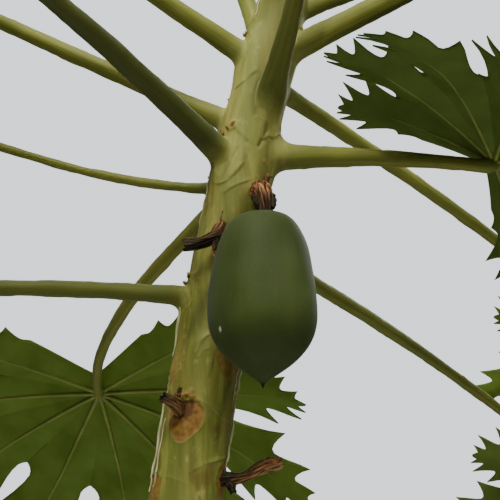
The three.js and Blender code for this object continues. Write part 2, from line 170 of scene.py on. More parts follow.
# Ledges of the bark, the edges of old leaf feet: stops of height and azimuth, how far the bark above the
# line stands out, how wide the edge is, and how strong the painted highlight on its lip and the painted
# shadow at the foot under it are
LEDGES = [
    ([(1.318, -12), (1.310, 16), (1.301, 45), (1.296, 85), (1.300, 130)], 0.0006, 0.0009, 0.30, 0.20),
    ([(1.251, 2), (1.257, 11), (1.263, 34), (1.272, 86)], 0.0007, 0.0009, 0.10, 0.38),
    ([(1.472, -40), (1.488, -26), (1.498, -3), (1.507, 36)], 0.0008, 0.0013, 0.30, 0.15),
    ([(1.352, -17), (1.360, -12), (1.366, -4), (1.369, 7)], 0.0010, 0.0011, 0.48, 0.22),
    ([(1.349, -12), (1.355, -4), (1.357, 8)], 0.0007, 0.0009, 0.36, 0.18),
    ([(1.556, -35), (1.546, -14), (1.533, 19)], 0.0007, 0.0012, 0.22, 0.20),
    ([(1.663, -88), (1.655, -70), (1.635, -38), (1.624, -22)], 0.0008, 0.0012, 0.28, 0.22),
    ([(1.592, -60), (1.596, -37), (1.602, -18), (1.609, -2)], 0.0009, 0.0013, 0.28, 0.25),
    ([(1.426, -60), (1.418, -50), (1.412, -42), (1.405, -29)], 0.0007, 0.0010, 0.20, 0.18),
    ([(1.517, -64), (1.503, -44), (1.503, -20), (1.518, 2), (1.540, 8)], 0.0012, 0.0013, 0.26, 0.22),
    ([(1.640, -62), (1.632, -45), (1.640, -30)], 0.0009, 0.0012, 0.22, 0.20),
    ([(1.390, -62), (1.400, -38), (1.412, -30)], 0.0006, 0.0011, 0.10, 0.20),
    ([(1.541, 30), (1.546, 44), (1.544, 60)], 0.0010, 0.0012, 0.15, 0.35),
    ([(1.524, 40), (1.519, 56), (1.520, 72)], 0.0008, 0.0010, 0.25, 0.25),
]
# Upright creases of the bark, darkened by painted shade: stops of height and azimuth, depth, width and how
# dark the painted shade is
BARK_CREASES = [
    ([(1.533, 24), (1.548, 34), (1.560, 32)], 0.0010, 0.0018, 0.35),
    ([(1.518, 58), (1.532, 56), (1.550, 60)], 0.0012, 0.0014, 0.50),
    ([(1.560, 8), (1.585, -2), (1.602, 2)], 0.0008, 0.0018, 0.30),
    ([(1.330, 12), (1.345, 15), (1.358, 17)], 0.0006, 0.0010, 0.40),
    ([(1.262, 40), (1.290, 46), (1.330, 50), (1.380, 40)], 0.0007, 0.0026, 0.22),
    ([(1.400, -8), (1.440, -14), (1.470, -8)], 0.0005, 0.0024, 0.15),
    ([(1.610, 26), (1.650, 22), (1.690, 24)], 0.0006, 0.0022, 0.22),
    # A broad, shallow band of painted shadow below a stalk's foot
    ([(1.408, -10), (1.392, -20), (1.378, -31), (1.360, -44)], 0.0004, 0.0080, 0.45),
]
STRAND_ROWS = 80
# Pale dry strands on both edges of the trunk: stops of height and azimuth, radius, and how far they stand
STRANDS = [
    ([(1.406, -60), (1.400, -68), (1.384, -74), (1.356, -84)], 0.0014, 0.0004),
    ([(1.324, -80), (1.300, -86), (1.268, -90), (1.244, -86)], 0.0012, 0.0005),
    ([(1.302, -60), (1.285, -62), (1.268, -62), (1.254, -60), (1.246, -64)], 0.0007, 0.0003),
    ([(1.338, -66), (1.328, -72), (1.316, -76)], 0.0004, 0.0003),
    ([(1.352, 84), (1.341, 88), (1.320, 86)], 0.0011, 0.0006),
    ([(1.316, 78), (1.298, 80), (1.276, 78), (1.262, 76)], 0.0011, 0.0005),
    ([(1.346, 74), (1.330, 72), (1.318, 70)], 0.0006, 0.0003),
    ([(1.470, -75), (1.486, -78), (1.502, -70), (1.516, -66)], 0.0005, 0.0005),
    ([(1.585, 74), (1.560, 80), (1.545, 78), (1.535, 70)], 0.0004, 0.0003),
    ([(1.660, -52), (1.672, -56), (1.690, -60), (1.706, -58)], 0.0006, 0.0005),
]

# Fruit: the same values as its solid has, in a finer grid
FRUIT_TIP = np.array([0.1426, -0.066, 1.3167])
FRUIT_LENGTH = 0.1412
FRUIT_RADIUS = 0.0437
FRUIT_BELLY = 0.446
SHOULDER_POWERS = (1.42, 4.25)
POINT_POWERS = (2.85, 0.77)
FRUIT_ROWS = 120
FRUIT_COLUMNS = 128
# The dip round its stalk and the nipple at its tip: how deep or long it is, and how wide
FRUIT_DIP = (0.0035, 0.010)
FRUIT_NIPPLE = (0.0022, 0.0016)
# Its one pale mark: height above the tip, azimuth, half width and half height
FRUIT_MARK = (0.040, -56.25, (0.0010, 0.0015))

SHEATH_ROWS = 60
SHEATH_COLUMNS = 72
# Folds, ribs and fine ribs of a withered stalk's skin: how many go round, and how far each swells it
SHEATH_RIDGES = (5, 12, 27)
SHEATH_SWELL = (0.15, 0.12, 0.06)
# How far the skin runs back down the hollow past the ragged end
HOLLOW_DEPTH = 0.0055
# Withered stalks in millimetres: points along the middle line from the trunk outwards, the radius at each,
# how many loose fibres lie on it, how far it winds round, how rusty it is from end to end, and how much more
# so on its belly, below. Ribbed is how pale its ribs are where it isn't rusty.
WITHERED = {
    "fruit_stalk": dict(
        line=[(137, -14, 1497), (139, -28, 1493), (141, -44, 1488), (142.5, -56, 1481), (144, -63, 1473),
              (144.5, -65, 1459)],
        radii=[5.5, 6.8, 8.2, 8.4, 7.2, 6.4], fibres=52, winding=0.7, rust=(0.9, 1.0, 1.0, 0.95, 0.4, 0.0),
        belly=0.0, seed=11),
    "dry_stalk_left": dict(
        line=[(79, -16, 1303), (75.5, -27, 1306.5), (70, -35, 1311), (62.5, -39, 1314)],
        radii=[7.0, 5.6, 5.0, 4.4], fibres=7, winding=0.5, rust=(0.55, 0.5, 0.4, 0.0), belly=0.15, seed=12),
    "dry_stalk_right": dict(
        line=[(104, -6, 1253), (113, -9, 1252.5), (122.5, -10, 1253.2), (131.3, -11, 1256.1),
              (144.3, -12, 1263), (153, -13, 1265), (158.5, -13, 1266)],
        radii=[7.0, 6.8, 5.0, 4.2, 6.0, 5.6, 4.8], fibres=9, winding=0.8,
        rust=(0.0, 0.0, 0.2, 0.5, 0.8, 1.0, 1.0), belly=0.65, seed=13),
    "dry_stalk_hooked": dict(
        line=[(110, -17, 1468), (108, -27, 1462), (103, -37, 1449.5), (91, -39, 1443), (78, -38, 1442.5)],
        radii=[4.8, 5.0, 5.4, 5.1, 6.0], fibres=9, winding=0.4, rust=(0.9, 0.7, 0.12, 0.05, 0.0),
        belly=-0.15, ribbed=0.75, seed=14),
}
# Loose bits of the withered stalks: a piece's name, its line in millimetres, radius, and how rusty it is
LOOSE_FIBRES = [
    ("dry_stalk_hooked", [(104, -37, 1450), (103.5, -40, 1443), (103, -41, 1437)], 2.8, 0.1),
    ("dry_stalk_hooked", [(101, -40, 1438), (103, -41, 1432), (105, -41, 1427)], 0.9, 0.9),
    ("dry_stalk_hooked", [(108, -30, 1466), (109, -32, 1471), (110, -31, 1475)], 0.6, 0.6),
    ("dry_stalk_right", [(112, -9, 1254), (116, -12, 1249), (119, -13, 1242)], 4.8, 0.0),
    ("dry_stalk_right", [(111, -10, 1257), (109, -13, 1264), (107, -16, 1272)], 0.9, 0.7),
    ("dry_stalk_left", [(74, -36, 1315), (76, -37, 1319), (77, -37, 1322)], 2.6, 0.25),
    ("fruit_stalk", [(145.5, -14, 1496), (146.5, -18, 1502), (147, -20, 1511)], 3.0, 0.45),
    ("fruit_stalk", [(146.5, -18, 1504), (149, -21, 1508), (152, -21, 1508)], 0.6, 0.2),
    ("fruit_stalk", [(137, -62, 1474), (138, -66, 1468), (139, -67, 1463)], 2.6, 0.0),
    ("fruit_stalk", [(150, -61, 1476), (151.5, -65, 1470), (151, -67, 1464)], 3.2, 0.0),
]

# Tone of pale lines, their painted highlights and the bark's paler top (partly painted light), as a screen
# colour of 0 to 255
PALE_AND_HIGHLIGHT_TONE = (190, 184, 106)
# Finishes of two near tones: roughness, specular, both tones, then clouds (a noise's scale and upright, its
# low and high) and pores (a noise's scale, upright and detail, the bump's strength and depth). All blades
# have the same clouds and cells.
CELLS = ((30, 1, 0.35, 0.65), (420, 1, 4, 0.3, 0.0006))
TWO_TONE = {
    "blade_deep": (0.72, 0.08, (38, 54, 12), (50, 66, 16), *CELLS),
    "blade_mid": (0.72, 0.08, (46, 66, 16), (58, 80, 20), *CELLS),
    "blade_young": (0.70, 0.08, (72, 98, 24), (88, 114, 32), *CELLS),
    "under_deep": (0.70, 0.08, (80, 97, 36), (92, 109, 44), *CELLS),
    "under_mid": (0.70, 0.08, (88, 108, 36), (102, 124, 46), *CELLS),
    "under_young": (0.65, 0.08, (96, 120, 44), (112, 134, 54), *CELLS),
    "vein": (0.5, 0.3, (108, 118, 40), (130, 138, 54), (60, 1, 0.35, 0.65), (600, 1, 2, 0.2, 0.0003)),
    "strand": (0.7, 0.2, (170, 164, 104), (216, 210, 164), (300, 0.2, 0.35, 0.65),
               (800, 0.3, 3, 0.4, 0.0004)),
    "bud": (0.65, 0.2, (112, 108, 42), (146, 124, 62), (200, 1, 0.4, 0.6), (500, 1, 3, 0.6, 0.0006)),
}
# The number of the first leaf with a young green; older ones take the deep and the mid green in turn
FIRST_YOUNG_GREEN = 18

# Camera: what it looks at, how far away and how steeply up, and its focal length in widths of the picture
LOOK_AT = np.array([0.1325, 0.0, 1.450])
LOOK_DISTANCE = 1.300
LOOK_UP = 18.0
FOCAL_WIDTHS = 1529 / 500
SENSOR = 36.0
# Soft lights: place, size and power
LIGHTS = [
    ((-0.30, -1.45, 3.60), 1.2, 145), ((1.0, -2.1, 3.0), 1.3, 16), ((1.57, -0.77, 3.44), 0.5, 40),
    ((0.1, -0.9, 4.2), 0.8, 20), ((0.5, 0.3, 4.4), 1.8, 40), ((1.6, 2.2, 3.2), 1.4, 40),
]
# How wide the source of a spot is
SPOT_SOURCE = 0.08
# Two narrow spots for leaf stalks that the crown shades: place, what it lights, width in degrees and power
SPOTS = [
    ((-1.22, -1.77, 3.47), (0.275, -0.01, 1.545), 7.5, 400),
    ((-0.74, -2.66, 2.73), (0.22, -0.02, 1.705), 4.5, 300),
]
# The floor fades out from its inner radius to its outer one, and has two pale tones
FLOOR_RADII = (0.8, 2.4)
FLOOR_TONES = ((190, 190, 188), (198, 198, 196))
# The sky as the camera sees it: its colour and strength
SKY_SHOWN = ((238, 242, 246), 1.6)
# The sky's light: its colour, and from one upward share of the direction to another, its strength at both
SKY_LIGHT = (232, 238, 246)
SKY_CLIMB = (-0.10, 0.80, 0.06, 0.58)


def add_object(name, data):
    """A new object in the scene that carries the data."""
    made = bpy.data.objects.new(name, data)
    bpy.context.scene.collection.objects.link(made)
    return made


def place_camera():
    """The camera stands LOOK_DISTANCE from LOOK_AT, on the side of -Y, and looks up by LOOK_UP degrees."""
    slope = math.radians(LOOK_UP)
    data = bpy.data.cameras.new("camera")
    data.sensor_width = SENSOR
    data.lens = SENSOR * FOCAL_WIDTHS
    camera = add_object("camera", data)
    camera.location = LOOK_AT - LOOK_DISTANCE * np.array([0, math.cos(slope), math.sin(slope)])
    camera.rotation_euler = (math.pi / 2 + slope, 0, 0)
    bpy.context.scene.camera = camera


# Curves and grids


def unit(vectors):
    """Each vector divided by its length."""
    return vectors / np.maximum(np.linalg.norm(vectors, axis=-1, keepdims=True), 1e-12)


def soft_step(low, high, value):
    """0 below low and 1 above high, with a smooth cubic between."""
    share = np.clip((value - low) / (high - low), 0, 1)
    return share * share * (3 - 2 * share)


def bell(value, width=1.0):
    """1 at zero, falling off on both sides: e to the power of minus the square of value over width."""
    return np.exp(-(value / width) ** 2)


def ripple(points, size, seed, count=14):
    """Smooth noise of about -1 to 1: a sum of sine waves of about that size, in seeded directions."""
    rng = np.random.default_rng(seed)
    directions = unit(rng.normal(size=(count, 3))) * TAU / size
    directions *= rng.uniform(0.6, 1.6, size=(count, 1))
    phases = rng.uniform(0, TAU, size=count)
    return np.sin(points @ directions.T + phases).sum(-1) / math.sqrt(count / 2) * 0.6


def smooth_line(stops, count):
    """A curve through the stops: cubics whose slope at a stop is half the way between its neighbours."""
    stops = np.array(stops, float)
    padded = np.concatenate([[2 * stops[0] - stops[1]], stops, [2 * stops[-1] - stops[-2]]])
    place = np.linspace(0, len(stops) - 1 - 1e-9, count)
    piece = place.astype(int)
    share = (place - piece)[:, None]
    before, start, end, after = (padded[piece + offset] for offset in range(4))
    square = 2 * before - 5 * start + 4 * end - after
    cube = 3 * start - 3 * end + after - before
    return 0.5 * (2 * start + (end - before) * share + square * share ** 2 + cube * share ** 3)


def bend_round(start, corner, end, share):
    """A curve that leaves its start towards the corner and reaches its end from there: a quadratic blend."""
    return (1 - share) ** 2 * start + 2 * share * (1 - share) * corner + share ** 2 * end


def circle(count):
    """Angles of count points, evenly round a circle."""
    return np.arange(count) * TAU / count


def outward(azimuth):
    """The level direction out of the trunk: azimuth 0 faces -Y and 90 degrees faces +X. Takes radians."""
    azimuth = np.asarray(azimuth, float)
    return np.stack([np.sin(azimuth), -np.cos(azimuth), 0 * azimuth], -1)


def rings(line, side, top, reach, angle):
    """Rings of points round a line, each off it by its reach, at its angle from the side towards the top."""
    over_side = side[..., None, :] * (reach * np.cos(angle))[..., None]
    return line[..., None, :] + over_side + top[..., None, :] * (reach * np.sin(angle))[..., None]


def faces_of_grid(rows, columns, wrap, flip, first):
    """Quads of a grid of points numbered row by row from first; wrap joins the last column to the first."""
    row = np.arange(rows - 1)[:, None] * columns + first
    column = np.arange(columns if wrap else columns - 1)[None, :]
    beside = (column + 1) % columns
    quads = np.stack([row + column, row + beside, row + beside + columns, row + column + columns], -1)
    quads = quads.reshape(-1, 4)
    return quads[:, ::-1] if flip else quads


class Shape:
    """Grids of points gathered into one mesh, with their own attributes."""

    def __init__(self):
        self.points = []
        self.faces = []
        self.smooth = []
        self.values = {}
        self.count = 0

    def add_points(self, points, values):
        """Keeps the points and their attributes, and returns the number of the first."""
        points = points.reshape(-1, 3)
        first = self.count
        self.points.append(points)
        self.count += len(points)
        for name, value in values.items():
            self.values.setdefault(name, []).append((first, np.asarray(value, float)))
        return first

    def add_grid(self, grid, wrap=False, flip=False, caps=None, **values):
        """Adds a grid of rows and columns. Caps, round or flat, are fans that close its two end rows."""
        rows, columns = grid.shape[:2]
        first = self.add_points(grid, values)
        self.faces += faces_of_grid(rows, columns, wrap, flip, first).tolist()
        self.smooth += [True] * (len(self.faces) - len(self.smooth))
        here = np.arange(columns)
        for ring, order in ((0, -1), (rows - 1, 1)) if caps else ():
            ends = {name: np.asarray(value, float).reshape(rows, columns, -1)[ring].mean(0, keepdims=True)
                    for name, value in values.items()}
            middle = self.add_points(grid[ring].mean(0, keepdims=True), ends)
            edges = np.stack([here, (here + 1) % columns])[::order] + first + ring * columns
            self.faces += np.stack([*edges, np.full(columns, middle)], -1).tolist()
        self.smooth += [caps == "round"] * (len(self.faces) - len(self.smooth))

    def make(self, name, *materials, weld=0.0):
        """The object: its attributes on the points, and corners closer than weld joined."""
        mesh = bpy.data.meshes.new(name)
        mesh.from_pydata(np.concatenate(self.points), [], self.faces)
        for label, parts in self.values.items():
            width, kind, field = (3, "FLOAT_VECTOR", "vector") if label == "grain" else (1, "FLOAT", "value")
            full = np.zeros((self.count, width), np.float32)
            for first, value in parts:
                value = value.reshape(-1, width)
                full[first:first + len(value)] = value
            mesh.attributes.new(label, kind, "POINT").data.foreach_set(field, full.ravel())
        for material in materials:
            mesh.materials.append(material)
        mesh.polygons.foreach_set("use_smooth", np.array(self.smooth, bool))
        mesh.update()
        piece = add_object(name, mesh)
        if weld:
            piece.modifiers.new("merge", "WELD").merge_threshold = weld
        return piece


def dress(piece, slot, *nodes):
    """The piece rides on the plant's only body, and the solids that it stands for are hidden. The slot is not
    used.
    """
    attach(piece, "root")
    if nodes:
        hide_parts(*nodes)


# Materials


def colour(red, green, blue):
    """A screen colour of 0 to 255 as the linear colour that a shader takes."""
    screen = np.array([red, green, blue]) / 255
    linear = np.where(screen <= 0.04045, screen / 12.92, ((screen + 0.055) / 1.055) ** 2.4)
    return (*linear.tolist(), 1.0)


class Finish:
    """A Principled material and short ways to add the nodes that drive its colour and bump."""

    def __init__(self, name, roughness, specular, sheen=0.0):
        self.material = bpy.data.materials.new(name)
        self.material.use_nodes = True
        self.tree = self.material.node_tree
        self.shader = self.tree.nodes["Principled BSDF"]
        self.shader.inputs["Roughness"].default_value = roughness
        self.shader.inputs["Specular IOR Level"].default_value = specular
        self.shader.inputs["Sheen Weight"].default_value = sheen

    def feed(self, socket, value):
        """Links another node's socket, or sets a number, a vector or a screen colour."""
        if isinstance(value, bpy.types.NodeSocket):
            self.tree.links.new(value, socket)
        elif socket.type == "RGBA":
            socket.default_value = colour(*value)
        else:
            socket.default_value = value

    def node(self, kind, **inputs):
        """A new node with these inputs."""
        made = self.tree.nodes.new(kind)
        for name, value in inputs.items():
            self.feed(made.inputs[name.replace("_", " ")], value)
        return made

    def attribute(self, name, part="Fac"):
        """A value that the mesh carries at its points."""
        found = self.tree.nodes.new("ShaderNodeAttribute")
        found.attribute_name = name
        return found.outputs[part]

    def noise(self, scale, upright=1, detail=3, grain=False):
        """Noise on the object's own coordinates or a tube's grain. Below 1, upright draws it out along Z."""
        if grain:
            source = self.attribute("grain", "Vector")
        else:
            source = self.node("ShaderNodeTexCoord").outputs["Object"]
        place = self.node("ShaderNodeMapping", Vector=source, Scale=(1, 1, upright)).outputs["Vector"]
        return self.node("ShaderNodeTexNoise", Vector=place, Scale=scale, Detail=detail).outputs["Fac"]

    def levels(self, source, low, high, most=1):
        """0 where the source is below low, rising evenly to most where it is above high."""
        made = self.node("ShaderNodeMapRange", Value=source, From_Min=low, From_Max=high, To_Max=most)
        return made.outputs["Result"]

    def mix(self, share, first, second):
        """The first colour where the share is 0, and the second where it is 1."""
        made = self.tree.nodes.new("ShaderNodeMix")
        made.data_type = "RGBA"
        for number, value in ((0, share), (6, first), (7, second)):
            self.feed(made.inputs[number], value)
        return made.outputs[2]

    def over(self, name, base, tint):
        """The tint laid over the base by an attribute of the mesh."""
        return self.mix(self.attribute(name), base, tint)

    def layers(self, base, *rows):
        """Patches laid over a base. A row: a noise's scale, upright and detail, low, high, most, tint."""
        for scale, upright, detail, low, high, most, tint in rows:
            base = self.mix(self.levels(self.noise(scale, upright, detail), low, high, most), base, tint)
        return base

    def times(self, first, second):
        """The product of two shares."""
        made = self.tree.nodes.new("ShaderNodeMath")
        made.operation = "MULTIPLY"
        self.feed(made.inputs[0], first)
        self.feed(made.inputs[1], second)
        return made.outputs[0]

    def bump(self, height, strength, depth):
        """Relief in the shading, on top of what there is already."""
        made = self.node("ShaderNodeBump", Height=height, Strength=strength, Distance=depth)
        normal = self.shader.inputs["Normal"]
        if normal.is_linked:
            self.feed(made.inputs["Normal"], normal.links[0].from_socket)
        self.feed(normal, made.outputs["Normal"])

    def paint(self, value):
        """Sets what the base colour comes from."""
        self.feed(self.shader.inputs["Base Color"], value)


def young_skin(finish):
    """Young bark: upright streaks of two olives, greener clouds, brown patches, pale flecks and dark dots."""
    return finish.layers((112, 111, 42),
                         (75, 0.10, 4, 0.38, 0.62, 1, (148, 147, 68)),
                         (24, 0.35, 3, 0.42, 0.66, 0.75, (94, 108, 38)),
                         (46, 0.22, 4, 0.50, 0.70, 0.6, (122, 106, 44)),
                         (260, 0.12, 4, 0.44, 0.64, 0.55, (92, 97, 30)),
                         (170, 0.5, 3, 0.60, 0.72, 0.40, (176, 168, 96)),
                         (330, 1, 1, 0.775, 0.80, 0.7, (66, 60, 20)))


def bark_finish():
    """Soft green bark, grey and fissured where old, with pale lines and painted highlights, painted shade in
    creases, scars and brown stains; its paler top is partly painted light.
    """
    finish = Finish("bark", roughness=0.62, specular=0.2)
    cracks = finish.levels(finish.noise(90, 0.12, 5), 0.45, 0.62)
    old = finish.mix(cracks, (112, 104, 74), (160, 150, 116))
    skin = finish.over("age", young_skin(finish), old)
    # Pale lines with painted highlights on their lips, and the paler top, partly painted light
    skin = finish.over("pale", skin, PALE_AND_HIGHLIGHT_TONE)
    # Painted shade in creases and at the feet of ledges
    skin = finish.over("crease_shade", skin, (52, 52, 14))
    tan = finish.layers((152, 114, 50), (240, 1, 4, 0.35, 0.7, 1, (114, 83, 34)))
    tan = finish.mix(finish.times(finish.attribute("age"), 0.8), tan, (146, 132, 100))
    skin = finish.over("scar", skin, tan)
    finish.paint(finish.over("stain", skin, (78, 44, 14)))
    finish.bump(finish.noise(150, 0.25, 5), 0.35, 0.0012)
    finish.bump(finish.times(cracks, finish.attribute("age")), 0.5, 0.0015)
    return finish.material


def stalk_finish():
    """Smooth olive leaf stalk, as young bark at its foot, with long fine streaks and clouds further out, and
    a darker olive that is painted shade.
    """
    finish = Finish("leaf_stalk", roughness=0.60, specular=0.22, sheen=0.06)
    streaks = finish.levels(finish.noise(420, 0.02, grain=True), 0.35, 0.65)
    green = finish.layers(finish.mix(streaks, (108, 110, 34), (128, 128, 48)),
                          (16, 1, 3, 0.35, 0.7, 0.6, (94, 104, 30)),
                          (520, 1, 1, 0.72, 0.76, 0.5, (84, 76, 26)))
    # Painted shade: the deep share draws stalks that hang in shade a darker olive
    green = finish.over("deep", green, (50, 58, 14))
    green = finish.over("root", green, young_skin(finish))
    # Paler foot near the top, as the bark there: partly its young tone, partly painted light
    finish.paint(finish.over("pale", green, PALE_AND_HIGHLIGHT_TONE))
    finish.bump(finish.noise(260, 0.04, 2, grain=True), 0.14, 0.0005)
    return finish.material


def two_tone(name, roughness, specular, first, second, clouds, pores):
    """Two near tones in soft clouds, over a fine bump of pores or cells."""
    finish = Finish(name, roughness, specular)
    share = finish.levels(finish.noise(*clouds[:2]), *clouds[2:])
    finish.paint(finish.mix(share, first, second))
    finish.bump(finish.noise(*pores[:3]), *pores[3:])
    return finish.material


def fruit_finish():
    """Matte waxy green skin: broad clouds, faint long stripes from stalk to tip, and one tiny pale mark."""
    finish = Finish("fruit", roughness=0.66, specular=0.2, sheen=0.05)
    skin = finish.layers((48, 58, 15),
                         (18, 1, 3, 0.3, 0.7, 1, (58, 71, 19)),
                         (60, 0.1, 3, 0.4, 0.7, 0.35, (74, 84, 30)),
                         (420, 1, 2, 0.62, 0.74, 0.16, (112, 118, 60)))
    skin = finish.over("mark", skin, (222, 220, 190))
    finish.paint(finish.over("nipple", skin, (20, 18, 8)))
    finish.bump(finish.noise(260), 0.10, 0.0006)
    return finish.material


def withered_finish():
    """Dry fibre, near black to rusty tan, with pale ribs, long streaks and painted shade inside the hollow
    end.
    """
    finish = Finish("withered", roughness=0.85, specular=0.15)
    fibres = finish.levels(finish.noise(700, 0.06, 4, grain=True), 0.40, 0.60)
    dark = finish.mix(fibres, (16, 13, 6), (62, 54, 36))
    rusty = finish.mix(fibres, (84, 48, 22), (196, 138, 82))
    skin = finish.over("rust", dark, rusty)
    skin = finish.mix(finish.times(finish.attribute("rib"), fibres), skin, (156, 142, 104))
    # Painted shade: the inside of the hollow end near black
    finish.paint(finish.over("hollow", skin, (9, 7, 4)))
    finish.bump(finish.noise(1000, 0.06, grain=True), 0.8, 0.0010)
    return finish.material


# Trunk


def trunk_axis_x(height):
    """The trunk's middle leans by FOOT_LEAN and bends on towards the crown with a power of the height."""
    return FOOT_LEAN * height + CROWN_BEND * (np.maximum(height, 0) / TIP_HEIGHT) ** BEND_POWER


def trunk_radius(height):
    """The radius falls evenly, flares out above the cut, and falls with a cube inside the crown."""
    crown = np.maximum(0, (height - CROWN_START) / (TIP_HEIGHT - CROWN_START))
    flare = FLARE * np.exp(-height / FLARE_HEIGHT)
    return FOOT_RADIUS - TAPER * height + flare - CROWN_TAPER * crown ** 3


def angle_from(azimuth, degrees):
    """Signed angle in radians from a place in degrees to each azimuth in radians."""
    return (azimuth - math.radians(degrees) + np.pi) % TAU - np.pi


def shield(across, above, width, height):
    """Depth inside a shield's edge and share of the way out to it: squarish above, a blunt point below."""
    below = np.clip(-above / (height / 2), 0, 1)
    side = np.abs(across) / (width / 2) / (1 - 0.55 * below ** 1.1)
    power = np.where(above > 0, 3.2, 2.4)
    share = (side ** power + np.abs(above / (height / 2)) ** power) ** (1 / power)
    return (1 - share) * (width + height) / 4, share


def scar_rows():
    """Every leaf scar: the seen ones, and older ones down the spiral, ever wider, flatter and fainter."""
    rows = list(SEEN_SCARS)
    top, azimuth = OLD_SCARS["first"]
    count = int((top - OLD_SCARS["lowest"]) / OLD_SCARS["step"]) + 1
    for number in range(count):
        share = number / (count - 1)
        width, height = (np.interp(share, (0, 1), OLD_SCARS[name]) for name in ("width", "height"))
        place = top - OLD_SCARS["step"] * number
        rows.append((place, azimuth - SPIRAL * number, width, height, 1.0 - 0.65 * share))
    return rows


def line_on_bark(height, azimuth, stops):
    """Distance along the bark from each point to a curve through stops, how far above it, and its fade."""
    radius = trunk_radius(np.mean([stop[0] for stop in stops]))
    middle = np.mean([stop[1] for stop in stops])
    across = angle_from(azimuth, middle) * radius
    places = np.array([(math.radians(stop[1] - middle) * radius, stop[0]) for stop in stops])
    places = smooth_line(places, 4 * len(stops) - 3)
    lengths = np.linalg.norm(np.diff(places, axis=0), axis=1)
    best = np.full(np.shape(across), 1.0)
    run, above = np.zeros((2, *np.shape(across)))
    before = 0.0
    for start, end, length in zip(places[:-1], places[1:], lengths):
        way = (end - start) / length
        aside, up = across - start[0], height - start[1]
        share = np.clip(aside * way[0] + up * way[1], 0, length)
        gap = np.hypot(aside - way[0] * share, up - way[1] * share)
        run = np.where(gap < best, before + share, run)
        above = np.where(gap < best, (up * way[0] - aside * way[1]) * np.sign(way[0]), above)
        best = np.minimum(best, gap)
        before += length
    return best, above, soft_step(0, 0.12, run / before) * soft_step(0, 0.25, 1 - run / before)


def bloom_and_light(height):
    """How much paler the bark is drawn near the top, by height: partly its young tone, partly painted light.
    """
    return BLOOM_AND_LIGHT[0] * soft_step(*BLOOM_AND_LIGHT[1:], height)


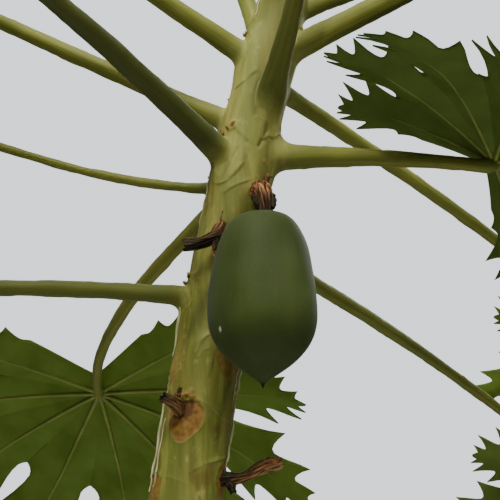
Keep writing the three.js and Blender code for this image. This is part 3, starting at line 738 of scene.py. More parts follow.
class Bark:
    """The bark at arrays of heights and azimuths: its relief in metres, and the share of each paint."""

    def __init__(self, height, azimuth):
        self.height = height
        self.azimuth = azimuth
        self.radius = trunk_radius(height)
        level = [trunk_axis_x(height) + self.radius * np.sin(azimuth), -self.radius * np.cos(azimuth)]
        self.points = np.stack([*level, height], -1)
        self.painted = {name: np.zeros(np.shape(height)) for name in ("scar", "pale", "crease_shade", "stain")}
        self.relief = -TRUNK_SLIMMER + 0.0005 * self.ripple(0.03, 1, 0.35)
        self.relief += 0.00035 * self.ripple(0.010, 2, 0.15)

    def ripple(self, size, seed, upright=1.0):
        """Smooth noise on the bark. Below 1, upright draws it out along the trunk."""
        return ripple(self.points * [1, 1, upright], size, seed)

    def paint(self, name, share):
        """Raises a paint's share to this one where it is less."""
        self.painted[name] = np.maximum(self.painted[name], share)

    def gap_to(self, place, degrees, wide, tall):
        """Distance to a place on the bark, in half widths and half heights of what is there."""
        return np.hypot(angle_from(self.azimuth, degrees) * self.radius / wide, (self.height - place) / tall)

    def add_scars(self):
        """A scar is a low cushion with a sunk face, a raised rim, and an arc of bundle marks near its edge.

        Two node lines run down from its shoulders: a ledge with painted shadow at its foot and a painted
        highlight on its lip.
        """
        uneven = 0.0005 * self.ripple(0.009, 6)
        for place, degrees, width, tall, fresh in scar_rows():
            turn = angle_from(self.azimuth, degrees)
            above = self.height - place
            depth, share = shield(turn * self.radius, above, width, tall)
            depth = depth + uneven
            inside = soft_step(-0.0004, 0.0008, depth)
            rim = bell(depth + 0.0002, 0.0011)
            self.relief += fresh * (0.0018 * bell(share) + 0.0006 * rim - 0.0007 * inside)
            marks = bell(share - 0.62, 0.07) * (np.cos(9 * np.arctan2(above, turn * width)) > 0.35)
            self.paint("scar", inside * (0.35 + 0.65 * fresh))
            self.paint("pale", 0.14 * rim * fresh)
            self.paint("stain", (0.30 * marks + 0.25 * bell(depth - 0.0012, 0.0009)) * inside * fresh)
            run = np.abs(turn)
            line = above - 0.40 * tall + 0.010 * np.maximum(run - 0.5, 0) ** 1.2
            shown = soft_step(0.4, 0.7, run) * (1 - soft_step(0.9, 1.7, run)) * (0.4 + 0.6 * fresh)
            shown = shown * (1 - 0.65 * soft_step(1.10, 1.19, self.height))
            self.relief += shown * 0.0008 * (0.5 + 0.5 * np.tanh(line / 0.0006)) * bell(line, 0.0036)
            # Painted shadow along the node line, and a painted highlight on its lip above
            self.paint("crease_shade", 0.24 * shown * bell(line, 0.0011))
            self.paint("pale", 0.25 * shown * bell(line - 0.0016, 0.0012))

    def add_spots(self):
        """Bud scars are low knobs with a raised edge and a dark dimple. Swellings are low mounds."""
        for place, degrees, size in BUD_SCARS:
            gap = self.gap_to(place, degrees, size, size)
            self.relief += 0.0016 * np.exp(-0.7 * gap ** 2) + 0.0008 * bell(gap - 0.9, 0.2)
            self.relief -= 0.0012 * bell(gap, 0.35)
            self.paint("scar", 0.7 * (1 - soft_step(0.75, 1.1, gap)))
            self.paint("stain", 0.8 * bell(gap - 0.2, 0.3))
            self.paint("pale", 0.5 * bell(gap - 0.95, 0.2))
        uneven = 0.35 * self.ripple(0.004, 8)
        for place, degrees, wide, tall, stand, tan in SWELLINGS:
            gap = self.gap_to(place, degrees, wide, tall) * (1 + tan * uneven)
            self.relief += stand * bell(gap)
            self.paint("pale", 0.22 * bell(gap))
            self.paint("scar", tan * (1 - soft_step(0.9, 1.5, gap)))

    def add_lines(self):
        """A ledge is a step across its line that levels out again on both sides, with a painted highlight on
        its lip and painted shadow at its foot. Creases are grooves darkened by painted shade.
        """
        broken = 0.35 + 0.65 * soft_step(-0.5, 0.5, self.ripple(0.018, 9))
        for stops, tall, wide, paleness, shade_strength in LEDGES:
            gap, above, fade = line_on_bark(self.height, self.azimuth, stops)
            near = fade * broken * bell(gap, 3 * wide)
            self.relief += tall * near * (0.5 + 0.5 * np.tanh(above / (0.5 * wide)))
            # Painted highlight on the lip above the line; painted shadow at its foot below
            self.paint("pale", paleness * near * bell(above - 0.8 * wide, wide))
            self.paint("crease_shade", shade_strength * near * bell(above + 0.6 * wide, wide))
        for stops, deep, wide, shade_strength in BARK_CREASES:
            gap, _, fade = line_on_bark(self.height, self.azimuth, stops)
            self.relief -= deep * fade * bell(gap, wide)
            # Painted shade along the crease
            self.paint("crease_shade", shade_strength * fade * bell(gap, wide))

    def add_stalk_feet(self, leaves):
        """Under each living stalk a cushion tails off downwards as a keel, with a groove on both sides
        darkened by painted shade.
        """
        for leaf in leaves:
            turn = angle_from(self.azimuth, leaf["azimuth"]) * self.radius
            above = self.height - leaf["height"]
            size = leaf["thick"] / 2
            cushion = bell(turn, 1.9 * size) * bell(above + 0.5 * size, 2.0 * size)
            tail = soft_step(-4.6, -1.0, above / size) * (1 - soft_step(-0.8, 0.4, above / size))
            self.relief += 0.16 * size * cushion + 0.24 * size * bell(turn, 0.75 * size) * tail
            side = 0.35 * size + 0.30 * np.maximum(above + 4.6 * size, 0)
            groove = bell(np.abs(turn) - side, 0.0016) * tail
            self.relief -= 0.0007 * groove
            # Painted shade in the grooves beside the keel
            self.paint("crease_shade", 0.28 * groove)

    def add_stains(self):
        """The dark patch on the freshest scar, and the brown stains, all with uneven edges."""
        place, degrees = SEEN_SCARS[0][:2]
        above, aside, size, strength = SCAR_PATCH
        gap = self.gap_to(place + above, degrees + aside, size, size) + 0.25 * self.ripple(0.006, 3)
        self.paint("stain", strength * (1 - soft_step(0.55, 1.15, gap)))
        uneven = 0.3 * self.ripple(0.010, 7, 0.4)
        for place, degrees, wide, tall, strength in STAINS:
            gap = self.gap_to(place, degrees, wide, tall) + uneven
            self.paint("stain", strength * (1 - soft_step(0.2, 1.2, gap)))

    def add_age(self):
        """Paler bark near the top, partly its young tone and partly painted light, fissures in the oldest,
        and no relief at the very tip.
        """
        # Partly painted light: the upper bark drawn paler, as if more lit
        self.paint("pale", bloom_and_light(self.height))
        age = 1 - soft_step(*OLD_BARK, self.height + 0.05 * self.ripple(0.12, 4))
        self.painted["age"] = age
        self.relief -= 0.0006 * age * np.maximum(self.ripple(0.012, 5, 0.25), 0)
        self.relief *= 1 - soft_step(1.80, 1.87, self.height)


def make_bark(height, azimuth, leaves):
    """The bark at these places, with all that is on it."""
    bark = Bark(height, azimuth)
    bark.add_scars()
    bark.add_spots()
    bark.add_lines()
    bark.add_stalk_feet(leaves)
    bark.add_stains()
    bark.add_age()
    return bark


def trunk_surface(height, azimuth, leaves, lift=0.0):
    """Points on the bark at each height and azimuth, lifted off it by a distance, and their paints."""
    bark = make_bark(height, azimuth, leaves)
    points = outward(azimuth) * (bark.radius + bark.relief + lift)[..., None]
    points[..., 0] += trunk_axis_x(height)
    points[..., 2] = height
    return points, bark.painted


def bark_heights(start, stops):
    """Heights of a grid's rows: from stop to stop in even steps of about each stop's spacing."""
    heights = [start]
    for end, spacing in stops:
        count = int(round((end - heights[-1]) / spacing))
        heights += np.linspace(heights[-1], end, count + 1)[1:].tolist()
    return heights


def make_trunk(leaves, finish):
    """The bark's two grids share a ring at their joint. A dome of shrinking rings closes the tip."""
    for part, start, stops in (("lower", 0.0, LOWER_ROWS), ("upper", BARK_JOINT, UPPER_ROWS)):
        heights = bark_heights(start, stops)
        height, azimuth = np.meshgrid(heights, circle(TRUNK_COLUMNS), indexing="ij")
        points, painted = trunk_surface(height, azimuth, leaves)
        if part == "upper":
            tip = np.array([trunk_axis_x(TIP_HEIGHT), 0, 0])
            rising = np.linspace(0, np.pi / 2, 6)[1:-1, None, None]
            dome = tip + (points[-1] - tip) * np.cos(rising)
            dome[..., 2] = heights[-1] + (TIP_HEIGHT - heights[-1]) * np.sin(rising[..., 0])
            points = np.concatenate([points, dome])
            painted = {name: np.concatenate([value, np.repeat(value[-1:], len(dome), 0)])
                       for name, value in painted.items()}
        shape = Shape()
        shape.add_grid(points, wrap=True, caps="flat", **painted)
        nodes = ["trunk"] if part == "lower" else []
        dress(shape.make(f"trunk_bark_{part}", finish), "bark", *nodes)


# Leaf stalks


def leaf_rows():
    """All leaves in metres and degrees: the seen ones, then the young ones on the spiral up to the tip."""
    rows = [dict(leaf) for leaf in SEEN_LEAVES]
    for number in range(YOUNG_LEAVES):
        share = number / (YOUNG_LEAVES - 1)
        row = {name: float(np.interp(share, (0, 1), YOUNG[name]))
               for name in ("rise", "length", "thick", "blade", "pitch")}
        row["height"] = float(np.interp(share ** YOUNG["crowding"], (0, 1), YOUNG["height"]))
        row["azimuth"] = (YOUNG["first_azimuth"] + SPIRAL * number) % 360
        row["bend"] = YOUNG["bend"]
        rows.append(row)
    for row in rows:
        for name in ("height", "length", "thick", "blade"):
            row[name] = row[name] / 1000
    return rows


def stalk_line(leaf):
    """Points and headings of the middle line: it leaves the trunk at its rise and turns down and aside.

    The slope falls by bend times a power of the share run, and the turn grows evenly to the sway.
    """
    azimuth = math.radians(leaf["azimuth"])
    away = outward(azimuth)
    side = np.array([-away[1], away[0], 0.0])
    share = ((np.arange(STALK_STEPS) + 0.5) / STALK_STEPS)[:, None]
    slope = np.radians(leaf["rise"] - leaf["bend"] * share ** leaf.get("hook", 1))
    turn = np.radians(leaf.get("sway", 0) * share)
    headings = away * np.cos(slope) * np.cos(turn) + side * np.cos(slope) * np.sin(turn) + UP * np.sin(slope)
    start = away * trunk_radius(leaf["height"])
    start = start + np.array([trunk_axis_x(leaf["height"]), 0, leaf["height"]])
    points = start + np.cumsum(headings * leaf["length"] / STALK_STEPS, 0)
    return np.concatenate([[start], points]), np.concatenate([headings, headings[-1:]])


def blade_frame(leaf):
    """Origin and axes of a blade at its stalk's end: along its middle lobe, to the left and off its face."""
    points, headings = stalk_line(leaf)
    end = headings[-1]
    heading = math.atan2(end[1], end[0]) + math.radians(leaf.get("turn", 0))
    pitch = math.radians(leaf["pitch"])
    level = np.array([math.cos(heading), math.sin(heading), 0.0])
    along = level * math.cos(pitch) + UP * math.sin(pitch)
    left = np.array([-level[1], level[0], 0.0])
    roll = math.radians(leaf.get("roll", 0))
    left = left * math.cos(roll) - np.cross(along, left) * math.sin(roll)
    up = np.cross(along, left)
    lift = ELBOW_LIFT * STALK_END * leaf["thick"] / 2 * (1 - end @ up)
    return points[-1] + up * lift, along, left, up


def stalk_path(leaf):
    """The middle line with its elbow: the last stretch is a curve that turns up into the blade's hub.

    Returns points, the side and top direction at each, and the distance run.
    """
    points, headings = stalk_line(leaf)
    back = NECK_BACK * leaf["thick"] / 2 * STALK_END
    kept = int(round(STALK_STEPS * (1 - back / leaf["length"])))
    share = np.linspace(0, 1, CURVE_STEPS)[1:, None]
    elbow = bend_round(points[kept], points[-1], blade_frame(leaf)[0], share)
    line = np.concatenate([points[:kept + 1], elbow])
    forward = unit(np.gradient(line, axis=0))
    side = unit(np.stack([-headings[:, 1], headings[:, 0], 0 * headings[:, 0]], -1))
    side = np.concatenate([side[:kept + 1], np.repeat(side[kept:kept + 1], len(elbow), 0)])
    side = unit(side - forward * (side * forward).sum(-1, keepdims=True))
    run = np.concatenate([[0], np.cumsum(np.linalg.norm(np.diff(line, axis=0), axis=1))])
    return line, side, np.cross(forward, side), run


def tube_point(leaf, path, run, angle):
    """Points of the stalk's skin, and the way out of it, at a distance run and an angle round it.

    Width and depth follow the taper plus a foot that fades with a power of the distance. Behind its start
    the stalk runs straight on back into the trunk.
    """
    line, side, top, distance = path
    forward = unit(line[1] - line[0])
    half = leaf["thick"] / 2
    wider, deeper, fade = leaf.get("foot", FOOT)
    beyond = np.maximum(run, 0)
    centre, side, top = (np.stack([np.interp(run, distance, part[:, axis]) for axis in range(3)], -1)
                         for part in (line, side, top))
    centre = centre + forward * np.minimum(run, 0)[..., None]
    swell = np.exp(-(beyond / fade) ** FOOT_POWER)
    taper = 1 - (1 - STALK_END) * beyond / distance[-1]
    ending = 0.22 * bell(distance[-1] - beyond, 1.6 * half)
    width = half * (taper + wider * swell + ending)
    depth = half * (taper + deeper * swell + ending)
    away = side * (width * np.cos(angle))[..., None] + top * (depth * np.sin(angle))[..., None]
    return centre + away, unit(away)


def bark_gap(points, leaves):
    """Distance from each point to the bark, level and outwards, and the azimuth of each."""
    level = points[..., 0] - trunk_axis_x(points[..., 2])
    azimuth = np.arctan2(level, -points[..., 1])
    bark = make_bark(points[..., 2], azimuth, leaves)
    return np.hypot(level, points[..., 1]) - (bark.radius + bark.relief), azimuth


def bark_meeting(leaf, leaves, path, angle):
    """How far along the stalk each line of its tube leaves the bark, found in even steps and between two."""
    search = np.linspace(MEETING_RANGE[0], min(MEETING_RANGE[1], 0.6 * leaf["length"]), MEETING_STEPS)
    run, around = np.meshgrid(search, angle, indexing="ij")
    gap, _ = bark_gap(tube_point(leaf, path, run, around)[0], leaves)
    last = np.clip(len(search) - 1 - np.argmax((gap < 0)[::-1], axis=0), 0, len(search) - 2)
    columns = np.arange(len(angle))
    low, high = gap[last, columns], gap[last + 1, columns]
    return search[last] + (search[1] - search[0]) * np.clip(low / np.minimum(low - high, -1e-9), 0, 1)


def fillet_width(leaf, angle):
    """Width of the fillet at each angle round the stalk, blended from that on top to that underneath."""
    half = leaf["thick"] / 2
    under = (1 - np.sin(angle)) / 2
    steep = 1 - 0.5 * max(0, math.sin(math.radians(leaf["rise"])))
    top_fillet, under_fillet = leaf.get("fillets", (1, 1))
    width = (FILLET_TOP + 0.1 * half) * top_fillet * (1 - under)
    return width + (FILLET_UNDER + 0.25 * half) * under_fillet * steep * under ** 1.5


def stalk_fillet(leaf, leaves, path, angle, meets, width):
    """Rings from the bark onto the stalk: curves that start along the bark and end along the tube.

    Each has its corner where the tube meets the bark, and starts just below the bark's surface.
    """
    corner, away = tube_point(leaf, path, meets, angle)
    ahead, _ = tube_point(leaf, path, meets + width, angle)
    level = corner[:, 0] - trunk_axis_x(corner[:, 2])
    normal = unit(np.stack([level, corner[:, 1], 0 * level], -1))
    away = unit(away - normal * (away * normal).sum(-1, keepdims=True))
    base = corner + away * width[:, None]
    gap, azimuth = bark_gap(base, leaves)
    base = base - outward(azimuth) * (gap + 0.0005)[:, None]
    return bend_round(base, corner, ahead, np.linspace(0, 1, CURVE_STEPS)[:, None, None])


def stalk_skin(leaf, leaves, seed):
    """Grid of the stalk's skin, its grain and its root: the fillet off the bark, then rings to the blade."""
    path = stalk_path(leaf)
    angle = circle(STALK_COLUMNS)
    meets = bark_meeting(leaf, leaves, path, angle)
    width = fillet_width(leaf, angle)
    fillet = stalk_fillet(leaf, leaves, path, angle, meets, width)
    onward = (np.linspace(0, 1, max(14, int(leaf["length"] / 0.006))) ** 1.25)[1:, None]
    start = (meets + width)[None, :]
    run = start + (path[3][-1] - start) * onward
    skin, normals = tube_point(leaf, path, run, np.broadcast_to(angle, run.shape))
    fine, broad = (stand * ripple(skin, size, seed + number) for number, (stand, size) in enumerate(LUMPS))
    skin = skin + normals * ((fine + broad) * soft_step(0, 0.01, run - start))[..., None]
    grid = np.concatenate([fillet, skin])
    runs = np.concatenate([np.linspace(ROOT_LOOK[0], 0, CURVE_STEPS)[:, None] + start, run])
    half = leaf["thick"] / 2
    grain = np.stack([half * np.cos(angle) + 0 * runs, half * np.sin(angle) + 0 * runs, runs], -1)
    return grid, grain, 1 - soft_step(*ROOT_LOOK, runs - start)


def make_stalk(leaf, leaves, number, finish):
    """One leaf stalk, closed at both ends. Its root is how far the bark's look reaches out along it."""
    grid, grain, root = stalk_skin(leaf, leaves, 100 + number)
    shape = Shape()
    # The foot takes the bark's paler top, partly painted light; deep is painted shade over the stalk, halved
    # at its foot
    shape.add_grid(grid, wrap=True, caps="flat", grain=grain, root=root, pale=root * bloom_and_light(grid[..., 2]),
                   deep=leaf.get("deep", 0) * (1 - 0.5 * root))
    dress(shape.make(f"leaf_stalk_skin_{number:02d}", finish), "leaf_stalk", f"leaf_stalk_{number:02d}")


# Leaf blades


def lobe_rows(reach):
    """Where each row starts on the rib and how long it is, as shares of the blade's size.

    Rows in the web are the same in every lobe, and their length is found later. Beyond it, the length goes
    between notch and tooth with a power of the distance from the notch, so that notches are round and teeth
    are pointed, and the tip is bare.
    """
    first_notch = TEETH[0][0]
    starts = list(np.linspace(0, first_notch, WEB_ROWS + 1)[:-1])
    lengths = [0.0] * WEB_ROWS
    stretch = (reach - first_notch) / (1 - first_notch)
    places = [first_notch + (place - first_notch) * stretch for place, _ in TEETH]
    share = np.arange(ROWS_PER_SIDE) / ROWS_PER_SIDE
    for number in range(len(TEETH) - 1):
        towards_tooth = number % 2 == 0
        rise = share ** TOOTH_POWER if towards_tooth else 1 - (1 - share) ** TOOTH_POWER
        first, second = TEETH[number][1], TEETH[number + 1][1]
        starts += list(places[number] + (places[number + 1] - places[number]) * share)
        lengths += list((first + (second - first) * rise) * (0.6 + 0.4 * reach))
    share = np.arange(ROWS_PER_SIDE + 1) / ROWS_PER_SIDE
    starts += list(places[-1] + (reach - places[-1]) * share)
    lengths += list(TEETH[-1][1] * (1 - share) ** 0.8)
    return np.array(starts), np.array(lengths)


def blade_sheet(leaf, lobe, seed):
    """Points of one lobe, as rows along its side veins from the right edge across the rib to the left.

    In the web a row ends on the line half way to the next lobe, so that neighbours share their corners. The
    height is a fold up from the rib, less a droop with the square of the distance from the hub, and beyond
    the web each lobe has a seeded sweep, droop and twist of its own.
    """
    size = leaf["blade"]
    angle, reach = LOBES[lobe]
    starts, free = lobe_rows(reach)
    slant = np.radians(np.interp(starts, (TEETH[0][0], reach), ROW_ANGLES))
    halves = []
    for hand in (-1, 1):
        beside = lobe + hand
        own, lengths = slant, free.copy()
        if 0 <= beside < len(LOBES):
            half = math.radians(abs(LOBES[beside][0] - angle) / 2)
            neighbour = min(reach, LOBES[beside][1])
            web = starts[:WEB_ROWS + 1] * math.sin(half) / np.sin(own[:WEB_ROWS + 1] - half)
            lengths *= (0.55 + 0.45 * neighbour / reach) * leaf.get("full", 1)
            lengths[:WEB_ROWS + 1] = web
        else:
            own = own + np.radians(8.0) * np.exp(-starts / 0.05)
            web = BACK_SINUS + 0.30 * starts
            join = soft_step(0.16, TEETH[1][0], starts)
            lengths = np.where(starts < TEETH[0][0], web, web * (1 - join) + lengths * join)
        row = lengths[:, None] * ACROSS[None, :]
        halves.append(np.array([starts[:, None] + row * np.cos(own)[:, None],
                                hand * row * np.sin(own)[:, None]]))
    along, across = np.concatenate([halves[0][..., :0:-1], halves[1]], 2) * size
    return lift_plan(leaf, lobe, along, across, np.random.default_rng(seed * 31 + lobe))


def lift_plan(leaf, lobe, along, across, rng):
    """Turns a lobe's plan (along and across its rib) into points in space on the blade's frame."""
    size = leaf["blade"]
    origin, forward, left, up = blade_frame(leaf)
    far = np.hypot(along, across)
    free = np.maximum(far / size - SINUS_REACH, 0)
    sweep, droop, twist, wave = rng.uniform(LOBE_LEAST, LOBE_MOST)
    turn = math.radians(LOBES[lobe][0]) + sweep * free ** 2
    ahead = along * np.cos(turn) - across * np.sin(turn)
    aside = along * np.sin(turn) + across * np.cos(turn)
    soft = RIB_SOFTNESS * size
    fold = BLADE_FOLD * (np.sqrt(across ** 2 + soft ** 2) - soft)
    hang = leaf.get("droop", BLADE_DROOP) * np.maximum(0, far - HUB_RADIUS * size) ** 2 / size
    height = fold - hang - droop * size * free ** 2 + twist * across * free
    waves = np.sin(along / size * LOBE_WAVES[1] + wave + np.abs(across) / size * LOBE_WAVES[2])
    height += LOBE_WAVES[0] * size * free * waves
    height -= LOBE_CURL * across ** 2 / size * soft_step(0, 0.3, free)
    return origin + forward * ahead[..., None] + left * aside[..., None] + up * height[..., None]


def vein_tube(shape, line, radii, up, sides):
    """A vein or a strand: rings across a line, closed at both ends."""
    forward = unit(np.gradient(line, axis=0))
    side = unit(np.cross(np.broadcast_to(up, forward.shape), forward))
    grid = rings(line, side, np.cross(forward, side), radii[:, None], circle(sides))
    shape.add_grid(grid, wrap=True, caps="round")


def make_blade(leaf, number, face, underside, vein):
    """One blade: the sheet of nine lobes, thickened, and the ribs and side veins, which stand out below."""
    size = leaf["blade"]
    up = blade_frame(leaf)[3]
    sheet = Shape()
    veins = Shape()
    middle = len(ACROSS) - 1
    for lobe, (_, reach) in enumerate(LOBES):
        points = blade_sheet(leaf, lobe, number)
        sheet.add_grid(points, flip=True)
        rib = points[:, middle]
        share = np.linspace(0, 1, len(rib))
        thick = size * RIB_RADIUS * (reach ** 0.5) * (1 - 0.86 * share ** 0.7)
        vein_tube(veins, rib + up * (0.0008 - thick)[:, None], thick, up, 8)
        for tooth in range(1, len(TEETH), 2):
            row = WEB_ROWS + ROWS_PER_SIDE * tooth
            for half in (points[row, middle:], points[row, middle::-1]):
                line = half[:-1] * 0.98 + half[1:] * 0.02
                thin = size * SIDE_VEIN_RADIUS * np.linspace(1, 0.3, len(line)) * (1 - 0.5 * share[row])
                vein_tube(veins, line + up * (0.0007 - thin)[:, None], thin, up, 5)
    blade = sheet.make(f"leaf_blade_sheet_{number:02d}", face, underside, weld=0.00025)
    thicken = blade.modifiers.new("thickness", "SOLIDIFY")
    thicken.thickness = BLADE_THICKNESS
    thicken.offset = 0.0
    thicken.material_offset = 1
    dress(blade, "leaf_blade", f"leaf_blade_{number:02d}")
    dress(veins.make(f"leaf_veins_{number:02d}", vein), "leaf_blade")


# Fruit


def make_fruit(finish):
    """The fruit turns its solid's profile about the upright axis, with five faint ribs, a dip and a nipple.

    The radius is the largest one times (1 - away^inner)^(1/outer), where away is the share of the way from
    the widest place up to the shoulder or down to the tip.
    """
    share = (1 - np.cos(np.linspace(0, np.pi, FRUIT_ROWS))[1:-1, None]) / 2
    above = share > FRUIT_BELLY
    away = np.where(above, (share - FRUIT_BELLY) / (1 - FRUIT_BELLY), (FRUIT_BELLY - share) / FRUIT_BELLY)
    inner, outer = (np.where(above, up, down) for up, down in zip(SHOULDER_POWERS, POINT_POWERS))
    azimuth = circle(FRUIT_COLUMNS)
    ribs = 1 + 0.010 * np.cos(5 * azimuth + 0.7) * np.sin(np.pi * share)
    reach = FRUIT_RADIUS * np.maximum(0, 1 - away ** inner) ** (1 / outer) * ribs
    height = FRUIT_LENGTH * share - FRUIT_DIP[0] * (share > 0.5) * bell(reach, FRUIT_DIP[1])
    height -= FRUIT_NIPPLE[0] * (share < 0.5) * bell(reach, FRUIT_NIPPLE[1])
    points = FRUIT_TIP + outward(azimuth) * reach[..., None] + UP * height[..., None]
    points += outward(azimuth) * (0.00035 * ripple(points, 0.035, 21))[..., None]
    nipple = (1 - soft_step(0.0012, 0.0030, reach)) * (share < 0.5)
    place, degrees, size = FRUIT_MARK
    aside = angle_from(azimuth, degrees) * FRUIT_RADIUS
    mark = 1 - soft_step(0.7, 1.3, np.hypot(aside / size[0], (height - place) / size[1]))
    shape = Shape()
    shape.add_grid(points, wrap=True, caps="round", nipple=nipple, mark=mark)
    dress(shape.make("fruit_skin", finish), "fruit", "fruit")


# Withered stalks, strands and buds


def tube_axes(line):
    """Directions along a line, level across it and down across it, at each of its points."""
    forward = unit(np.gradient(line, axis=0))
    side = unit(np.cross(forward, UP + 0.01))
    return forward, side, np.cross(forward, side)


def fibre(shape, line, radius, sides, rust, rng):
    """One dry fibre: a tube along a line whose rings swell and pinch by seeded waves, with a ragged end."""
    forward, side, top = tube_axes(line)
    angle = circle(sides)
    share = np.linspace(0, 1, len(line))[:, None]
    phases = rng.uniform(0, TAU, 4)
    swell = 1 + 0.20 * np.sin(3 * angle + phases[0] + 4 * share) + 0.13 * np.sin(share * 17 + phases[1])
    swell = swell + 0.12 * np.sin(5 * angle + phases[2] + share * 9)
    reach = radius[:, None] * swell
    grid = rings(line, side, top, reach, angle)
    grid[-1] += forward[-1] * (0.5 * radius[-1] * np.sin(3 * angle + phases[3]))[:, None]
    grain = np.stack([reach * np.cos(angle), reach * np.sin(angle), share * 0.05 + 0 * angle], -1)
    rust = np.clip(rust[:, None] + 0 * angle, 0, 1)
    shape.add_grid(grid, wrap=True, caps="round", grain=grain, rust=rust)


def ridge(turn, count, phase):
    """Sharp ridges round a tube: one less the size of a sine, count times round."""
    return 1 - np.abs(np.sin(count * turn / 2 + phase))


def evenly(values, along):
    """Values spread evenly over a way, read off at each share of it."""
    return np.interp(along, np.linspace(0, 1, len(values)), values)


def withered_line(stalk):
    """Shares of the way along a withered stalk, and its middle line, radius and rust at each."""
    along = np.linspace(0, 1, SHEATH_ROWS)
    middle = smooth_line(np.array(stalk["line"]) / 1000, SHEATH_ROWS)
    return along, middle, evenly(stalk["radii"], along) / 1000, evenly(stalk["rust"], along)


def add_sheath(shape, stalk, rng):
    """The skin round a withered stalk's line, swollen by folds, ribs and fine ribs that wind slowly round.

    Past its ragged end the skin turns in and runs back down the hollow, which is painted near black as shade.
    """
    along, middle, radius, rust = withered_line(stalk)
    forward, side, top = tube_axes(middle)
    angle = circle(SHEATH_COLUMNS)
    wound = stalk["winding"] * along + 0.12 * np.sin(9 * along + rng.uniform(0, TAU))
    turned = angle + wound[:, None]
    folds, ribs, fine = (ridge(turned, number, rng.uniform(0, np.pi)) for number in SHEATH_RIDGES)
    swell = 0.80 + SHEATH_SWELL[0] * folds + SHEATH_SWELL[1] * ribs + SHEATH_SWELL[2] * fine
    swell = swell + 0.05 * np.sin(11 * along + rng.uniform(0, TAU))[:, None]
    ragged = 0.0007 * np.sin(3 * angle + rng.uniform(0, TAU))
    ragged = ragged + 0.0006 * np.sin(8 * angle + rng.uniform(0, TAU))
    back = np.linspace(0, 1, 9)[1:]
    ring = np.concatenate([np.arange(SHEATH_ROWS), np.full(len(back), SHEATH_ROWS - 1)])
    inward = np.concatenate([np.ones(SHEATH_ROWS), 0.86 - 0.30 * back])
    near_end = np.clip(along[:, None] * 12 - 11, 0, 1)
    push = np.concatenate([ragged * near_end, ragged - HOLLOW_DEPTH * back[:, None]])
    reach = (radius[:, None] * swell)[ring] * inward[:, None]
    grid = rings(middle[ring], side[ring], top[ring], reach, angle)
    grid = grid + forward[ring][:, None] * push[..., None]
    # How far into the hollow each ring is, for its painted shade
    hollow = np.concatenate([np.zeros(SHEATH_ROWS), soft_step(0, 0.3, back)])[:, None] + 0 * angle
    below = np.sin(angle)
    rusty = rust[ring][:, None]
    shade = rusty + (0.1 + 0.5 * rusty) * (ribs[ring] - 0.4)
    shade = shade + 0.25 * rusty * ripple(grid, 0.006, stalk["seed"])
    shade = np.clip(shade + stalk["belly"] * below, 0, 1)
    rib = soft_step(0.60, 0.92, ribs[ring]) * soft_step(0.1, 0.7, folds[ring])
    rib = rib * (stalk.get("ribbed", 0.25) + 0.75 * shade)
    rib = np.clip(rib + 1.4 * stalk["belly"] * rusty * soft_step(0.2, 0.9, below), 0, 1)
    length = np.linalg.norm(np.diff(middle, axis=0), axis=1).sum()
    run = length * along[ring][:, None] + 0 * angle
    grain = np.stack([reach * np.cos(angle), reach * np.sin(angle), run], -1)
    shape.add_grid(grid, wrap=True, caps="round", grain=grain, rust=shade, rib=rib, hollow=hollow)


def add_fibres(shape, stalk, rng):
    """Thin fibres along a sheath: each covers a seeded stretch of it, winds round with it and wavers."""
    along, middle, radius, rust = withered_line(stalk)
    _, side, top = tube_axes(middle)
    for strand in range(stalk["fibres"]):
        start = int(rng.integers(0, int(0.4 * SHEATH_ROWS)))
        end = int(rng.integers(start + int(0.35 * SHEATH_ROWS), SHEATH_ROWS + 1))
        wave = 0.10 * np.sin(along * rng.uniform(8, 20) + rng.uniform(0, TAU))
        turn = TAU * strand / stalk["fibres"] + rng.uniform(-0.2, 0.2) + along * stalk["winding"] + wave
        stand = rng.uniform(0.90, 1.0) + 0.05 * np.sin(along * rng.uniform(10, 25) + rng.uniform(0, TAU))
        path = rings(middle, side, top, (radius * stand)[:, None], turn[:, None])[:, 0]
        tint = rust + rng.uniform(-0.55, 0.30)
        thick = radius[start:end] * rng.uniform(0.05, 0.11) * np.sin(np.linspace(0.5, 2.9, end - start))
        fibre(shape, path[start:end], thick, 6, tint[start:end], rng)


def make_withered(name, stalk, finish):
    """A withered stalk: its ribbed sheath, thin fibres lying along it, and the loose bits at its sides."""
    rng = np.random.default_rng(stalk["seed"])
    shape = Shape()
    add_sheath(shape, stalk, rng)
    add_fibres(shape, stalk, rng)
    for owner, stops, thick, tint in LOOSE_FIBRES:
        if owner == name:
            line = smooth_line(np.array(stops) / 1000, 12)
            fibre(shape, line, thick / 1000 * np.linspace(1, 0.6, 12), 12, np.full(12, tint), rng)
    dress(shape.make(f"{name}_sheath", finish), "dry_stalk", name)


def make_strands(leaves, finish):
    """Pale dry strands along the bark, each a thin tube through its stops of height and azimuth."""
    shape = Shape()
    for stops, radius, lift in STRANDS:
        line = smooth_line(np.array(stops), STRAND_ROWS)
        waves = 0.0004 * np.sin(np.linspace(0, 19, STRAND_ROWS)) + lift
        points, _ = trunk_surface(line[:, 0], np.radians(line[:, 1]), leaves, waves)
        radii = radius * np.sin(np.linspace(0.2, np.pi - 0.2, STRAND_ROWS)) ** 0.5
        vein_tube(shape, points, radii, UP + 0.3, 8)
    dress(shape.make("bark_strands", finish), "bark")


def bud(shape, place, axis, size, ridges, rng):
    """A bud or a folded young leaf: a pleated spindle along its axis, blunt below and pointed above."""
    axis = unit(axis)
    side = unit(np.cross(axis, [0.31, 0.17, 0.94]))
    angle = circle(28)
    share = np.linspace(0.02, 0.99, 16)[:, None]
    pleats = 1 + 0.16 * np.cos(ridges * angle + rng.uniform(0, TAU) + 1.5 * share)
    reach = size[0] * np.sin(np.pi * share ** 0.75) ** 0.8 * pleats
    grid = rings(place + axis * (size[1] * (share - 0.15)), side, np.cross(axis, side), reach, angle)
    shape.add_grid(grid, wrap=True, caps="round")


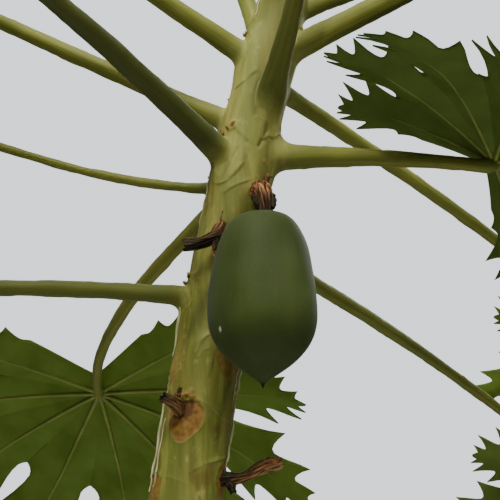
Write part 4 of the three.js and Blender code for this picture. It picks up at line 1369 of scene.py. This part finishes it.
def make_buds(leaves, finish, leaf_finish):
    """Two or three small buds sit above each older stalk's foot, and folded young leaves top the trunk."""
    rng = np.random.default_rng(5)
    shape = Shape()
    for leaf in leaves[:-3]:
        for _ in range(int(rng.integers(2, 4))):
            height = leaf["height"] + 0.62 * leaf["thick"] + rng.uniform(0.002, 0.008)
            azimuth = math.radians(leaf["azimuth"]) + rng.uniform(-0.14, 0.14)
            place, _ = trunk_surface(np.array(height), np.array(azimuth), leaves)
            size = rng.uniform(0.0009, 0.0016)
            axis = outward(azimuth) * rng.uniform(0.5, 1.2) + UP * rng.uniform(0.5, 1.2)
            bud(shape, place, axis, (size, 3.0 * size), 5, rng)
    dress(shape.make("axil_buds", finish), "bark")
    shoots = Shape()
    tip = np.array([trunk_axis_x(TIP_HEIGHT), 0.0, TIP_HEIGHT])
    for number in range(FOLDED_LEAVES):
        azimuth = math.radians(SPIRAL * number + 40)
        slope, length = (np.interp(number, (0, FOLDED_LEAVES - 1), ends)
                         for ends in (FOLDED_SLOPE, FOLDED_LENGTH))
        axis = UP + outward(azimuth) * slope
        foot = tip + outward(azimuth) * 0.006 - UP * 0.006
        neck = foot + unit(axis) * length * 0.5
        line = foot + (neck - foot) * np.linspace(0, 1, 6)[:, None]
        vein_tube(shoots, line, np.full(6, 0.0017), np.array([0.3, 0.9, 0.1]), 8)
        bud(shoots, neck, axis, (0.13 * length, length), 9, rng)
    dress(shoots.make("folded_leaves", leaf_finish), "leaf_blade")


# Stage and lights


def hang_lamp(data, place, target, power):
    """A lamp at a place, turned towards its target."""
    data.energy = power
    lamp = add_object(data.name, data)
    lamp.location = place
    towards = np.array(target) - np.array(place)
    flat = math.hypot(towards[0], towards[1])
    lamp.rotation_euler = (math.atan2(flat, -towards[2]), 0, math.atan2(-towards[0], towards[1]))


def make_stage():
    """A pale round floor that fades out, soft lights from above and behind, and the narrow spots."""
    finish = Finish("floor", roughness=0.9, specular=0.1)
    finish.paint(finish.mix(finish.noise(2.0), *FLOOR_TONES))
    finish.feed(finish.shader.inputs["Alpha"], finish.attribute("shown"))
    floor = Shape()
    angle = circle(96)
    reach = np.linspace(0, FLOOR_RADII[1], 40)[:, None] + 0 * angle
    shown = 1 - soft_step(*FLOOR_RADII, reach)
    floor.add_grid(reach[..., None] * outward(angle), wrap=True, flip=True, shown=shown)
    floor.make("floor", finish.material)
    for place, size, power in LIGHTS:
        data = bpy.data.lights.new("soft_light", "AREA")
        data.size = size
        hang_lamp(data, place, LOOK_AT, power)
    for place, target, width, power in SPOTS:
        data = bpy.data.lights.new("spot", "SPOT")
        data.spot_size = math.radians(width)
        data.spot_blend = 1.0
        data.shadow_soft_size = SPOT_SOURCE
        hang_lamp(data, place, target, power)


def make_sky():
    """A pale sky, even to look at, whose light is weak from below and grows with the upward share."""
    world = bpy.data.worlds.new("sky")
    world.use_nodes = True
    nodes, links = world.node_tree.nodes, world.node_tree.links
    shown = nodes["Background"]
    shown.inputs["Color"].default_value = colour(*SKY_SHOWN[0])
    shown.inputs["Strength"].default_value = SKY_SHOWN[1]
    lighting = nodes.new("ShaderNodeBackground")
    lighting.inputs["Color"].default_value = colour(*SKY_LIGHT)
    apart = nodes.new("ShaderNodeSeparateXYZ")
    links.new(nodes.new("ShaderNodeTexCoord").outputs["Generated"], apart.inputs["Vector"])
    climb = nodes.new("ShaderNodeMapRange")
    for name, value in zip(("From Min", "From Max", "To Min", "To Max"), SKY_CLIMB):
        climb.inputs[name].default_value = value
    links.new(apart.outputs["Z"], climb.inputs["Value"])
    links.new(climb.outputs["Result"], lighting.inputs["Strength"])
    choice = nodes.new("ShaderNodeMixShader")
    links.new(nodes.new("ShaderNodeLightPath").outputs["Is Camera Ray"], choice.inputs["Fac"])
    links.new(lighting.outputs["Background"], choice.inputs[1])
    links.new(shown.outputs["Background"], choice.inputs[2])
    links.new(choice.outputs["Shader"], nodes["World Output"].inputs["Surface"])
    bpy.context.scene.world = world


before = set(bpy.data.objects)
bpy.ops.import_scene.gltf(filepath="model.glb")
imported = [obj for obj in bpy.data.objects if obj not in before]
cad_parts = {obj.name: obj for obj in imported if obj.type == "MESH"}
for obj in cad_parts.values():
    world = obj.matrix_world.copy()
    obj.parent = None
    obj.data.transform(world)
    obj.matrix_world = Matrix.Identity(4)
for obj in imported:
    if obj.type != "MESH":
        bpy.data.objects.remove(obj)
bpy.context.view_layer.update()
place_camera()
make_stage()
make_sky()

leaves = leaf_rows()
make_trunk(leaves, bark_finish())
olive = stalk_finish()
tones = {name: two_tone(name, *look) for name, look in TWO_TONE.items()}
for number, leaf in enumerate(leaves, 1):
    make_stalk(leaf, leaves, number, olive)
    kind = "young" if number >= FIRST_YOUNG_GREEN else ("deep", "mid")[number % 2]
    make_blade(leaf, number, tones["blade_" + kind], tones["under_" + kind], tones["vein"])
make_fruit(fruit_finish())
dry = withered_finish()
for name, stalk in WITHERED.items():
    make_withered(name, stalk, dry)
make_strands(leaves, tones["strand"])
make_buds(leaves, tones["bud"], tones["blade_young"])
